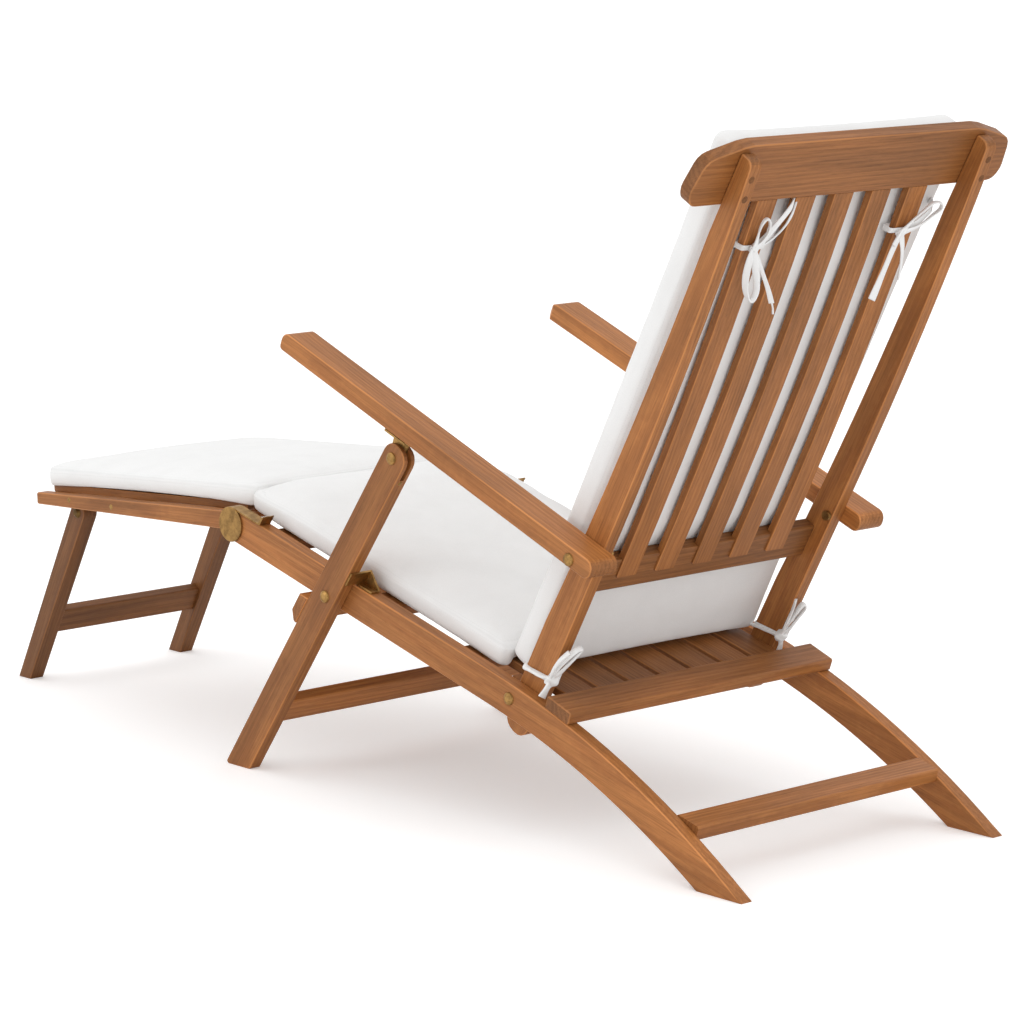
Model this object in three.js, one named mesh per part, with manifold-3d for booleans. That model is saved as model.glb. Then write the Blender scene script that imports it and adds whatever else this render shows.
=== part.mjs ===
// Steamer deck chair: a folding slatted frame with front legs, a hinged footrest and a loose cushion.
// Millimetres, +Z up. The sitter faces -Y, and X runs across the chair, with the sitter's left at +X.
import * as THREE from 'three';
import { mergeVertices } from 'three/addons/utils/BufferGeometryUtils.js';
import Module from 'manifold-3d';

const wasm = await Module();
wasm.setup();
const radians = THREE.MathUtils.degToRad;

// Driving dimensions: the whole chair
const seatWidth = 500;
const footHingeHeight = 347;
const boardThickness = 21;
const boardWidth = 45;
const laneGap = 1;
const seat = 0.3;
const cut = 5;
const boardEase = 1.5;
const boardCorner = 3;
const slatEase = 1.2;

// Seat rails: straight behind the footrest hinge, then curved down to the floor
const railDepth = 46;
const railSlope = radians(14.9);
const railStraight = 575;
const railBendRadius = 1400;
const railBendSteps = 14;

// Seat deck
const slatThickness = 12;
const seatSlatWidth = 50;
const seatSlatPitch = 59;
const seatSlatCount = 7;
const seatSlatFront = 24;
const seatSlatRise = 4;
const crossRailWidth = 45;
const crossRailThickness = 18;
const frontCrossRailAt = 84;
const middleCrossRailAt = 318;
const rearCrossRailAt = 500;
const plankAt = 703;
const plankWidth = 48;
const plankThickness = 18;
const rearStretcherAt = 929;
const rearStretcherWidth = 40;
const rearStretcherThickness = 20;

// Pivots of the folding four-bar, given along the seat rail and off its centre line
const legPivotAlong = 246;
const legPivotDrop = 5;
const backPivotAlong = 614;
const backPivotRise = 2.5;
const linkLength = 256.6;
const linkAngle = radians(55.7);

// Front legs
const legAngle = radians(54.4);
const legShift = -3;
const legTopReach = 22;
const legTopFrontRadius = 21;
const legTopRearRadius = 19;
const legFootRadius = 4;
const legSlotBelow = 20;
const legStretcherWidth = 42;
const legStretcherThickness = 18;
const legStretcherBelow = 225;
const legStretcherShift = 2;

// Stop bar under the seat rails, against the front edges of the legs
const stopBarWidth = 42;
const stopBarThickness = 18;
const stopBarChamfer = 12;

// Backrest
const backAngle = radians(61);
const stileThickness = 20;
const stileShift = 9.9;
const stileBelow = 53;
const stileAbove = 848;
const stileFootRadius = 20;
const stileTopRadius = 12;
const stileHollowFrom = 120;
const stileHollowBelowTop = 118;
const stileHollowDepth = 7;
const stileBendFrom = 300;
const stileBendRadius = 6700;
const stileBendSteps = 8;
const headRailLength = 578;
const headRailHeight = 85;
const headRailThickness = 20;
const headRailProud = 9;
const headRailTop = stileAbove + headRailProud;
const headRailShoulder = 215;
const headRailShoulderDrop = 19;
const headRailBulge = 19;
const headRailEndLean = 9;
const headRailCornerRadius = 22;
const headRailShoulderRadius = 60;
const lowerRailHeight = 51;
const lowerRailThickness = 20;
const lowerRailTop = 228;
const lowerRailFront = -8;
const backSlatCount = 5;
const backSlatPitch = 70;
const backSlatWidth = 35;
const backSlatHousing = 28;
const backSlatProud = 3;
const backSlatBow = 29.2587;
const backSlatBendSteps = 6;

// Arms
const armWidth = 48;
const armThickness = 27;
const armSlope = radians(20.9);
const armRise = 3.5;
const armFrontReach = 630;
const armRearReach = 42;
const armFrontTopRadius = 19;
const armFrontUnderRadius = 6;
const armRearRadius = 12;
const armCornerClip = 9;

// Footrest
const footRailLength = 516;
const footRailHingeDepth = 28;
const footRailTipDepth = 18;
const footSlope = radians(3.47);
const footBattenWidth = 45;
const footBattenThickness = 18;
const footBattenDrop = 3;
const footBattenPlaces = [493, 290, 88];
const footSlatWidth = 66;
const footSlatPitch = 82;
const footSlatCount = 5;
const footSlatRear = 30;

// Footrest legs
const footLegSpread = 324;
const footLegThickness = 26.5;
const footLegAngle = radians(62);
const footLegTopDepth = 34;
const footLegTipDepth = 27;
const footLegSetback = 11;
const footLegStretcherWidth = 43;
const footLegStretcherThickness = 17;
const footLegStretcherHeight = 100;

// Brass fittings
const boltRadius = 4;
const boltHeadRadius = 9;
const boltHeadHeight = 3.5;
const nutRadius = 7;
const nutHeight = 4.5;
const boltClearance = 0.3;
const openPivotClearance = 0.5;
const hingePinRadius = 5;
const hingeDiscThickness = 3;
const hingeStrapThickness = 2;
const hingeStrapReach = 62;
const hingeStrapRadius = 25.5;
const hingeLugHeight = 13;
const hingeLugLean = 6;
const hingeStrapWrap = radians(171);
const hingeDiscEase = 0.6;
const hingeNutRadius = 7.6;
const hingeNutFaceRadius = 7.3;
const sheetThickness = 3;
const tongueThickness = 6;
const tongueWidth = 26;
const tongueSlotClearance = 0.5;
const tonguePlateLength = 44;
const tonguePlateWidth = 36;
const bracketFootLength = 34;
const bracketRise = 26;
const bracketTabLength = 22;
const legBracketLeafLength = 30;
const legBracketLeafWidth = 32;
const legBracketLugRadius = 11;

// Cushion: three stuffed sections, each with a crown and drawn-in sides
const cushionEdgeRadius = 13;
const cushionSideDraw = 4;
const cushionCornerRadius = 24;
const cushionCornerSteps = 4;
const cushionRimSteps = 6;
const cushionCellsAlong = 12;
const cushionCellsAcross = 6;
const cushionFaceShares = [0.3, 0.6, 0.85];
const cushionRest = 0.3;
const backCushionBelowHead = 11;
const backCushionTop = headRailTop - backCushionBelowHead;
const backCushion = { width: 432, thickness: 36, crown: 12, from: 25, to: backCushionTop };
const seatCushion = { width: 432, thickness: 37, crown: 12, from: 6, to: 556 };
const footCushion = { width: 412, thickness: 30, crown: 12, from: -518, to: -4 };

// Lanes across the chair
const railOuter = seatWidth / 2;
const railInner = railOuter - boardThickness;
const stileOuter = railInner - laneGap;
const stileInner = stileOuter - stileThickness;
const footRailOuter = railInner - laneGap;
const footRailInner = footRailOuter - boardThickness;
const legInner = railOuter + laneGap;
const legOuter = legInner + boardThickness;
const legMiddle = (legInner + legOuter) / 2;
const armInner = stileOuter + laneGap;
const armOuter = armInner + armWidth;
const footLegOuter = footLegSpread / 2;
const footLegInner = footLegOuter - footLegThickness;

// Heights off the centre line of the seat rail
const railHalf = railDepth / 2;
const slatTop = railHalf + seatSlatRise;
const slatBottom = slatTop - slatThickness;
const crossRailTop = slatBottom - seat;

const teak = new THREE.MeshStandardMaterial({ color: 0xa0663c, roughness: 0.55, metalness: 0 });
const brass = new THREE.MeshStandardMaterial({ color: 0xb08d4c, roughness: 0.35, metalness: 1 });
const canvas = new THREE.MeshStandardMaterial({ color: 0xefeeec, roughness: 0.95, metalness: 0 });

const unitX = new THREE.Vector3(1, 0, 0);
const unitY = new THREE.Vector3(0, 1, 0);
const unitZ = new THREE.Vector3(0, 0, 1);

// The outline through corners [x, y, radius], each turned with its own arc
function roundedOutline(corners, stepAngle = radians(18)) {
  const places = corners.map(([x, y]) => new THREE.Vector2(x, y));
  return corners.flatMap(([, , radius = 0], i) => {
    const corner = places[i];
    const before = places.at(i - 1).clone().sub(corner);
    const after = places[(i + 1) % places.length].clone().sub(corner);
    if (radius === 0) return [corner];
    const inside = Math.acos(before.clone().normalize().dot(after.clone().normalize()));
    const room = Math.min(before.length(), after.length()) / 2;
    const reach = Math.min(radius / Math.tan(inside / 2), room);
    const arcRadius = reach * Math.tan(inside / 2);
    const bisector = before.clone().normalize().add(after.clone().normalize()).normalize();
    const centre = corner.clone().addScaledVector(bisector, arcRadius / Math.sin(inside / 2));
    const start = corner.clone().addScaledVector(before.normalize(), reach).sub(centre);
    const turn = Math.sign(-before.cross(after)) * (Math.PI - inside);
    const steps = Math.max(1, Math.round(Math.abs(turn) / stepAngle));
    return Array.from({ length: steps + 1 }, (_, step) =>
      start.clone().rotateAround(new THREE.Vector2(), (turn * step) / steps).add(centre));
  });
}

function rectangle(left, right, low, high, radius = 0) {
  return roundedOutline([
    [left, low, radius],
    [right, low, radius],
    [right, high, radius],
    [left, high, radius],
  ]);
}

// A flat board with eased edges, its outline drawn in the plane of the axes across and up
function board(outline, thickness, ease, holes = []) {
  const shape = new THREE.Shape(outline);
  holes.forEach(({ x, y, radius }) => {
    shape.holes.push(new THREE.Path().absarc(x, y, radius, 0, Math.PI * 2, true));
  });
  const geometry = new THREE.ExtrudeGeometry(shape, {
    depth: thickness - 2 * ease,
    steps: 1,
    curveSegments: 10,
    bevelEnabled: ease > 0,
    bevelThickness: ease,
    bevelSize: ease,
    bevelOffset: -ease,
    bevelSegments: 1,
  });
  return geometry.translate(0, 0, ease);
}

// A board whose outline is drawn as (Y, Z) and carried across the chair from one X to another
function acrossX(outline, fromX, toX, { ease = boardEase, holes = [] } = {}) {
  const geometry = board(outline, toX - fromX, ease, holes);
  geometry.applyMatrix4(new THREE.Matrix4().makeBasis(unitY, unitZ, unitX));
  return geometry.translate(fromX, 0, 0);
}

// A board whose outline is drawn as (X, Z), from one Y to another
function throughY(outline, fromY, toY, { ease = boardEase, holes = [] } = {}) {
  const geometry = board(outline, toY - fromY, ease, holes);
  geometry.applyMatrix4(new THREE.Matrix4().makeBasis(unitX, unitZ, unitY.clone().negate()));
  return geometry.translate(0, toY, 0);
}

// A board whose outline is drawn as (X, Y), from one Z to another
function throughZ(outline, fromZ, toZ, { ease = 0 } = {}) {
  return board(outline, toZ - fromZ, ease).translate(0, 0, fromZ);
}

// The same side board in the lane of one side of the chair: side is 1 for +X and -1 for -X
function inLane(outline, side, inner, outer, options) {
  return side > 0 ? acrossX(outline, inner, outer, options) : acrossX(outline, -outer, -inner, options);
}

// A turned pin along X through profile points [x, radius], at a side place
function turnedPin(profile, y, z, sides = 20) {
  const points = profile.map(([x, radius]) => new THREE.Vector2(radius, x));
  const geometry = new THREE.LatheGeometry(points, sides);
  geometry.applyMatrix4(new THREE.Matrix4().makeBasis(unitY, unitX, unitZ.clone().negate()));
  return geometry.translate(0, y, z);
}

function solid(geometry) {
  const bare = geometry.clone();
  bare.deleteAttribute('normal');
  bare.deleteAttribute('uv');
  const merged = mergeVertices(bare);
  return new wasm.Manifold(new wasm.Mesh({
    numProp: 3,
    vertProperties: new Float32Array(merged.attributes.position.array),
    triVerts: new Uint32Array(merged.index.array),
  }));
}

function faceted(manifold) {
  const { vertProperties, triVerts } = manifold.getMesh();
  const geometry = new THREE.BufferGeometry();
  geometry.setAttribute('position', new THREE.BufferAttribute(new Float32Array(vertProperties), 3));
  geometry.setIndex(new THREE.BufferAttribute(new Uint32Array(triVerts), 1));
  const flat = geometry.toNonIndexed();
  flat.computeVertexNormals();
  return flat;
}

const joined = (...geometries) => faceted(geometries.map(solid).reduce((all, next) => all.add(next)));
const without = (geometry, ...tools) =>
  faceted(tools.map(solid).reduce((left, tool) => left.subtract(tool), solid(geometry)));

function piece(frame, name, geometry, material) {
  const mesh = new THREE.Mesh(geometry, material);
  mesh.name = name;
  frame.add(mesh);
  return mesh;
}

function frameAt(parent, y, z, tilt) {
  const group = new THREE.Group();
  group.position.set(0, y, z);
  group.rotation.x = tilt;
  parent.add(group);
  return group;
}

const bothSides = [['left', 1], ['right', -1]];

// Points [x, other] drawn for the +X side, as they are on one side of the chair
const onSide = (points, side) => (side > 0 ? points : points.map(([x, other]) => [-x, other]).reverse());

// Place on the centre line of the seat rail, in the seat frame, with the turn of the rail there
function onRail(along, rise = 0) {
  const turn = Math.max(0, along - railStraight) / railBendRadius;
  const radius = railBendRadius + rise;
  return {
    y: Math.min(along, railStraight) + radius * Math.sin(turn),
    z: radius * Math.cos(turn) - railBendRadius,
    turn,
  };
}

// A place in a frame at (originY, originZ) turned by tilt, seen from the frame that holds it
function outOf(originY, originZ, tilt, y, z) {
  return {
    y: originY + y * Math.cos(tilt) - z * Math.sin(tilt),
    z: originZ + y * Math.sin(tilt) + z * Math.cos(tilt),
  };
}

const legPivotInSeat = onRail(legPivotAlong, -legPivotDrop);
const backPivotInSeat = onRail(backPivotAlong, backPivotRise);
const legPivot = outOf(0, footHingeHeight, -railSlope, legPivotInSeat.y, legPivotInSeat.z);
const backPivot = outOf(0, footHingeHeight, -railSlope, backPivotInSeat.y, backPivotInSeat.z);
const legTilt = legAngle - Math.PI / 2;
const backTilt = backAngle - Math.PI / 2;
const armPivot = outOf(backPivot.y, backPivot.z, linkAngle, linkLength, 0);

// Angle in the bend at which an edge of the seat rail, off its centre line by offset, meets the floor
function floorTurn(offset) {
  const centreHeight = footHingeHeight - railStraight * Math.sin(railSlope) - railBendRadius * Math.cos(railSlope);
  return Math.acos(-centreHeight / (railBendRadius + offset)) - railSlope;
}

// An arc of one edge of the bend, from its start to the floor
function bendEdge(offset) {
  const end = floorTurn(offset);
  return Array.from({ length: railBendSteps + 1 }, (_, step) => {
    const turn = (end * step) / railBendSteps;
    const radius = railBendRadius + offset;
    return new THREE.Vector2(railStraight + radius * Math.sin(turn), radius * Math.cos(turn) - railBendRadius);
  });
}

// Seat frame
function seatRailOutline() {
  const nose = new THREE.Path().absarc(0, 0, railHalf, Math.PI / 2, Math.PI * 1.5, false).getPoints(12);
  return [...bendEdge(-railHalf), ...bendEdge(railHalf).reverse(), ...nose];
}

function addSeatRails(frame) {
  const holes = [
    { x: 0, y: 0, radius: hingePinRadius + boltClearance },
    { x: legPivotInSeat.y, y: legPivotInSeat.z, radius: boltRadius + boltClearance },
    { x: backPivotInSeat.y, y: backPivotInSeat.z, radius: boltRadius + boltClearance },
  ];
  bothSides.forEach(([label, side]) => {
    piece(frame, `seat_rail_${label}`, inLane(seatRailOutline(), side, railInner, railOuter, { holes }), teak);
  });
}

function addCrossRail(frame, name, middle) {
  const low = crossRailTop - crossRailThickness;
  const half = crossRailWidth / 2;
  const outline = rectangle(middle - half, middle + half, low, crossRailTop, boardCorner);
  const reach = railInner - seat;
  piece(frame, name, acrossX(outline, -reach, reach, { ease: 0 }), teak);
}

function addSeatSlats(frame) {
  const rear = plankAt - plankWidth / 2 - cut;
  for (let i = 0; i < seatSlatCount; i += 1) {
    const middle = (i - (seatSlatCount - 1) / 2) * seatSlatPitch;
    const outline = rectangle(seatSlatFront, rear, slatBottom, slatTop, boardCorner);
    const from = middle - seatSlatWidth / 2;
    piece(frame, `seat_slat_${i + 1}`, acrossX(outline, from, from + seatSlatWidth, { ease: slatEase }), teak);
  }
}

function addRearPlank(frame) {
  const place = onRail(plankAt, railHalf + seat);
  const half = plankWidth / 2;
  // The plank lies flat on the crown of the bend
  const outline = rectangle(-half, half, 0, plankThickness, boardCorner);
  const plankFrame = frameAt(frame, place.y, place.z, -place.turn);
  piece(plankFrame, 'rear_plank', acrossX(outline, -railOuter, railOuter), teak);
}

// The rear stretcher is level with the seat, and its front top edge is flush with the bend of the rails
function addRearStretcher(frame) {
  const turn = Math.asin((rearStretcherAt - railStraight) / (railBendRadius + railHalf));
  const top = (railBendRadius + railHalf) * Math.cos(turn) - railBendRadius;
  const outline = rectangle(rearStretcherAt, rearStretcherAt + rearStretcherWidth,
    top - rearStretcherThickness, top, boardCorner);
  const reach = railInner - seat;
  piece(frame, 'rear_stretcher', acrossX(outline, -reach, reach, { ease: 0 }), teak);
}

// The stop bar is drawn in the leg's own axes, and its top edge follows the underside of the rails
function addStopBar(chair) {
  const frame = frameAt(chair, legPivot.y, legPivot.z, legTilt);
  const rear = legShift - boardWidth / 2 - seat;
  const front = rear - stopBarThickness;
  const lean = legAngle + railSlope;
  const underside = (across) =>
    (across * Math.cos(lean) - railHalf + legPivotDrop - seat) / Math.sin(lean);
  const low = underside(front) - stopBarWidth;
  const outline = roundedOutline([
    [rear, low, boardCorner],
    [rear, underside(rear)],
    [front, underside(front)],
    [front, low + stopBarChamfer, boardCorner],
    [front + stopBarChamfer, low, boardCorner],
  ]);
  piece(frame, 'stop_bar', acrossX(outline, -legOuter, legOuter), teak);
}

// Bolt along X from its domed head outside to its nut inside, for one side of the chair
function boltProfile(side, headFace, nutFace) {
  const headTop = headFace + seat + boltHeadHeight;
  const nutEnd = nutFace - seat - nutHeight;
  return onSide([
    [nutEnd, 0],
    [nutEnd, nutRadius - boltClearance],
    [nutFace - seat, nutRadius],
    [nutFace - seat, boltRadius],
    [headFace + seat, boltRadius],
    [headFace + seat, boltHeadRadius],
    [headFace + seat + boltHeadHeight / 2, boltHeadRadius * Math.cos(Math.PI / 8)],
    [headTop, boltHeadRadius / 2],
    [headTop, 0],
  ], side);
}

function addBolt(frame, name, side, headFace, nutFace, y, z) {
  piece(frame, name, turnedPin(boltProfile(side, headFace, nutFace), y, z), brass);
}

// Plate on the nose of each seat rail: a disc with the hinge pin, and a strap over the rail to a turned-up lug
function hingePlate(side) {
  const discFace = railOuter + seat;
  const discMiddle = discFace + hingeDiscThickness / 2;
  const nutFace = footRailInner - seat;
  const nutEnd = nutFace - nutHeight;
  const pinProfile = [
    [nutEnd, 0],
    [nutEnd, hingeNutFaceRadius],
    [nutFace, hingeNutRadius],
    [nutFace, hingePinRadius],
    [discMiddle, hingePinRadius],
    [discMiddle, 0],
  ];
  const pin = turnedPin(onSide(pinProfile, side), 0, 0);
  const circle = new THREE.Path().absarc(0, 0, hingeStrapRadius, 0, Math.PI * 2, false).getPoints(28).slice(0, -1);
  const disc = inLane(circle, side, discFace, discFace + hingeDiscThickness, { ease: hingeDiscEase });
  const strapInner = hingeStrapRadius - hingeStrapThickness;
  const outer = new THREE.Path().absarc(0, 0, hingeStrapRadius, hingeStrapWrap, Math.PI / 2, true).getPoints(8);
  const inner = new THREE.Path().absarc(0, 0, strapInner, Math.PI / 2, hingeStrapWrap, false).getPoints(8);
  const lugTop = hingeStrapRadius + hingeLugHeight;
  const strapOutline = [
    ...outer,
    new THREE.Vector2(hingeStrapReach - hingeStrapThickness * 2, hingeStrapRadius),
    new THREE.Vector2(hingeStrapReach + hingeLugLean - hingeStrapThickness, lugTop),
    new THREE.Vector2(hingeStrapReach + hingeLugLean, lugTop),
    new THREE.Vector2(hingeStrapReach, strapInner),
    ...inner,
  ].reverse();
  const strap = inLane(strapOutline, side, railInner + boardCorner, discMiddle, { ease: 0 });
  return joined(disc, pin, strap);
}

function addHingePlates(frame) {
  bothSides.forEach(([label, side]) => {
    piece(frame, `hinge_plate_${label}`, hingePlate(side), brass);
  });
}

// Bracket on each seat rail behind the leg: foot, triangular web and a tab that the leg's rear edge rests on
function stopBracket(side) {
  const lean = legAngle + railSlope;
  const tabFront = legShift + boardWidth / 2 + seat;
  const tabRear = tabFront + sheetThickness;
  const footLow = railHalf + seat;
  const footHigh = footLow + sheetThickness;
  // A place in the leg's own axes, and how far up the leg a line along it crosses the underside of the foot
  const place = (across, up) => {
    const { y, z } = outOf(legPivotInSeat.y, legPivotInSeat.z, lean - Math.PI / 2, across, up);
    return new THREE.Vector2(y, z);
  };
  const upAtFoot = (across) => (footLow - legPivotInSeat.z + across * Math.cos(lean)) / Math.sin(lean);
  const tabTop = upAtFoot(tabFront) + bracketRise;
  const tabLow = tabTop - bracketTabLength;
  const low = place(tabFront, upAtFoot(tabFront));
  const lowRear = place(tabRear, upAtFoot(tabRear));
  const high = place(tabFront, tabTop);
  const highRear = place(tabRear, tabTop);
  const footEndLow = new THREE.Vector2(low.x + bracketFootLength, footLow);
  const footEndHigh = new THREE.Vector2(low.x + bracketFootLength, footHigh);
  const web = [low, footEndLow, footEndHigh, highRear, high];
  const foot = [new THREE.Vector2(low.x, footLow), footEndLow, footEndHigh, new THREE.Vector2(lowRear.x, footHigh)];
  const tab = [place(tabFront, tabLow), place(tabRear, tabLow), highRear, high];
  const webInner = railInner + boardCorner;
  return joined(
    inLane(web, side, webInner, webInner + sheetThickness, { ease: 0 }),
    inLane(foot, side, webInner, railOuter - boardCorner, { ease: 0 }),
    inLane(tab, side, webInner, legOuter - boardCorner, { ease: 0 }),
  );
}

function addStopBrackets(frame) {
  bothSides.forEach(([label, side]) => {
    piece(frame, `stop_bracket_${label}`, stopBracket(side), brass);
  });
}

// Front legs, drawn from their pivot on the seat rail; the line to their top pivot leans off their edges
const openPivotInLeg = outOf(0, 0, linkAngle - legAngle, 0, linkLength);

function legOutline() {
  const rear = legShift + boardWidth / 2;
  const front = legShift - boardWidth / 2;
  const floorAt = (across) => (across * Math.cos(legAngle) - legPivot.z) / Math.sin(legAngle);
  const top = openPivotInLeg.z + legTopReach;
  return roundedOutline([
    [rear, floorAt(rear), legFootRadius],
    [rear, top, legTopRearRadius],
    [front, top, legTopFrontRadius],
    [front, floorAt(front), legFootRadius],
  ]);
}

function addFrontLegs(frame) {
  const holes = [
    { x: 0, y: 0, radius: boltRadius + boltClearance },
    { x: openPivotInLeg.y, y: openPivotInLeg.z, radius: boltRadius + openPivotClearance },
  ];
  const slotHalf = tongueThickness / 2 + tongueSlotClearance;
  bothSides.forEach(([label, side]) => {
    const leg = inLane(legOutline(), side, legInner, legOuter, { holes });
    const slotMiddle = side * legMiddle;
    const slotLow = openPivotInLeg.z - legSlotBelow;
    const slotHigh = openPivotInLeg.z + legTopReach + cut;
    const slotOutline = rectangle(-boardWidth, boardWidth, slotLow, slotHigh);
    const slot = acrossX(slotOutline, slotMiddle - slotHalf, slotMiddle + slotHalf, { ease: 0 });
    piece(frame, `front_leg_${label}`, without(leg, slot), teak);
  });
}

function addLegStretcher(frame) {
  const half = legStretcherThickness / 2;
  const low = -legStretcherBelow - legStretcherWidth / 2;
  const high = low + legStretcherWidth;
  const outline = rectangle(legStretcherShift - half, legStretcherShift + half, low, high, boardCorner);
  const reach = legInner - seat;
  piece(frame, 'leg_stretcher', acrossX(outline, -reach, reach, { ease: 0 }), teak);
}

// Backrest, drawn from its pivot on the seat rail.
// Above the arms the stiles bend forward: a hollow in the front edge, and a bowed rear edge
function stileOutline() {
  const front = stileShift - boardWidth / 2;
  const rear = stileShift + boardWidth / 2;
  const hollowTop = stileAbove - stileHollowBelowTop;
  const foot = roundedOutline([
    [front, stileHollowFrom],
    [front, -stileBelow, stileFootRadius],
    [rear, -stileBelow, stileFootRadius],
    [rear, stileBendFrom],
  ]);
  const bendAt = (height) =>
    rear - stileBendRadius + Math.sqrt(stileBendRadius ** 2 - (height - stileBendFrom) ** 2);
  const bendLength = stileAbove - stileTopRadius * 2 - stileBendFrom;
  const bend = Array.from({ length: stileBendSteps }, (_, i) => {
    const height = stileBendFrom + ((i + 1) * bendLength) / stileBendSteps;
    return new THREE.Vector2(bendAt(height), height);
  });
  const top = roundedOutline([
    [bend.at(-1).x, bend.at(-1).y],
    [bendAt(stileAbove), stileAbove, stileTopRadius],
    [front, stileAbove, boardCorner],
    [front, hollowTop],
  ]).slice(1);
  const hollow = Array.from({ length: stileBendSteps - 1 }, (_, i) => {
    const share = (i + 1) / stileBendSteps;
    const depth = 4 * share * (1 - share) * stileHollowDepth;
    return new THREE.Vector2(front + depth, hollowTop + (stileHollowFrom - hollowTop) * share);
  });
  return [...foot, ...bend, ...top, ...hollow];
}

function addStiles(frame) {
  const arm = outOf(0, 0, linkAngle - backAngle, 0, linkLength);
  const holes = [
    { x: 0, y: 0, radius: boltRadius + boltClearance },
    { x: arm.y, y: arm.z, radius: boltRadius + boltClearance },
  ];
  bothSides.forEach(([label, side]) => {
    piece(frame, `back_stile_${label}`, inLane(stileOutline(), side, stileInner, stileOuter, { holes }), teak);
  });
}

// Head rail: flat crown in the middle, sloping shoulders and leaning rounded ends
function addHeadRail(frame) {
  const half = headRailLength / 2;
  const low = headRailTop - headRailHeight;
  const shoulder = headRailTop - headRailShoulderDrop;
  const endTop = half - headRailEndLean;
  const outline = roundedOutline([
    [-half + headRailEndLean, low, headRailCornerRadius],
    [half - headRailEndLean, low, headRailCornerRadius],
    [half, low + headRailBulge, headRailCornerRadius],
    [endTop, shoulder, headRailCornerRadius],
    [headRailShoulder, headRailTop, headRailShoulderRadius],
    [-headRailShoulder, headRailTop, headRailShoulderRadius],
    [-endTop, shoulder, headRailCornerRadius],
    [-half, low + headRailBulge, headRailCornerRadius],
  ]);
  const rear = stileShift - boardWidth / 2 - seat;
  piece(frame, 'head_rail', throughY(outline, rear - headRailThickness, rear), teak);
}

const backSlatMiddles = Array.from({ length: backSlatCount }, (_, i) =>
  (i - (backSlatCount - 1) / 2) * backSlatPitch);

// Side outline of a back slat, bent forward from its housing in the lower rail up to the head rail
function backSlatOutline(grow) {
  const footRear = lowerRailFront + lowerRailThickness + backSlatProud;
  const foot = lowerRailTop - backSlatHousing - grow;
  const head = headRailTop - headRailHeight - seat;
  const height = head - lowerRailTop + backSlatHousing;
  const bendRadius = (height ** 2 + backSlatBow ** 2) / (2 * backSlatBow);
  const centre = footRear - slatThickness / 2 - bendRadius;
  const edge = (offset) => {
    const radius = bendRadius + offset;
    const end = Math.asin((head - foot) / radius);
    return Array.from({ length: backSlatBendSteps + 1 }, (_, i) => {
      const turn = (end * i) / backSlatBendSteps;
      return new THREE.Vector2(centre + radius * Math.cos(turn), foot + radius * Math.sin(turn));
    });
  };
  return [...edge(slatThickness / 2 + grow), ...edge(-slatThickness / 2 - grow).reverse()];
}

function addLowerRail(frame) {
  const outline = rectangle(lowerRailFront, lowerRailFront + lowerRailThickness,
    lowerRailTop - lowerRailHeight, lowerRailTop, boardCorner);
  const reach = stileInner - seat;
  const rail = acrossX(outline, -reach, reach, { ease: 0 });
  const half = backSlatWidth / 2 + seat;
  const housings = backSlatMiddles.map((middle) =>
    acrossX(backSlatOutline(seat), middle - half, middle + half, { ease: 0 }));
  piece(frame, 'back_lower_rail', without(rail, ...housings), teak);
}

function addBackSlats(frame) {
  const half = backSlatWidth / 2;
  backSlatMiddles.forEach((middle, i) => {
    const slat = acrossX(backSlatOutline(0), middle - half, middle + half, { ease: slatEase });
    piece(frame, `back_slat_${i + 1}`, slat, teak);
  });
}

// Arms, drawn from their bolt on the stile, with the front towards -Y
function addArm(frame, label, side) {
  const low = armRise - armThickness / 2;
  const high = armRise + armThickness / 2;
  const outline = roundedOutline([
    [-armFrontReach, low, armFrontUnderRadius],
    [armRearReach, low, armRearRadius],
    [armRearReach, high, armRearRadius],
    [-armFrontReach, high, armFrontTopRadius],
  ]);
  const holes = [{ x: 0, y: 0, radius: boltRadius + boltClearance }];
  const arm = inLane(outline, side, armInner, armOuter, { holes });
  const clipOutline = onSide([
    [armInner - cut, -armFrontReach - cut],
    [armInner + armCornerClip, -armFrontReach - cut],
    [armInner - cut, -armFrontReach + armCornerClip + cut],
  ], side);
  const clip = throughZ(clipOutline.map(([x, y]) => new THREE.Vector2(x, y)), low - cut, high + cut);
  piece(frame, `arm_${label}`, without(arm, clip), teak);
}

// Brass tongue under each arm, with the pin that the top of the leg turns on
function addArmTongue(frame, label, side) {
  const p4 = outOf(0, 0, armSlope, legPivot.y - backPivot.y, legPivot.z - backPivot.z);
  const underside = armRise - armThickness / 2 - seat;
  const half = tongueWidth / 2;
  const tongueOutline = roundedOutline([
    [p4.y - half, p4.z - half, half],
    [p4.y + half, p4.z - half, half],
    [p4.y + half, underside - sheetThickness / 2],
    [p4.y - half, underside - sheetThickness / 2],
  ]);
  const middle = side * legMiddle;
  const tongue = acrossX(tongueOutline, middle - tongueThickness / 2, middle + tongueThickness / 2, { ease: 0 });
  const plateHalf = tonguePlateLength / 2;
  const plateOutline = rectangle(p4.y - plateHalf, p4.y + plateHalf, underside - sheetThickness, underside);
  const plateLeft = middle - tonguePlateWidth / 2;
  const plate = acrossX(plateOutline, plateLeft, plateLeft + tonguePlateWidth - boardCorner, { ease: 0 });
  const pin = turnedPin(boltProfile(side, legOuter, legInner), p4.y, p4.z);
  piece(frame, `arm_tongue_${label}`, joined(tongue, plate, pin), brass);
}

// Footrest, drawn from its hinge, with its front end towards -Y
function footTop(reach) {
  const share = reach / footRailLength;
  return (footRailHingeDepth * (1 - share) + footRailTipDepth * share) / 2;
}

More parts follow.
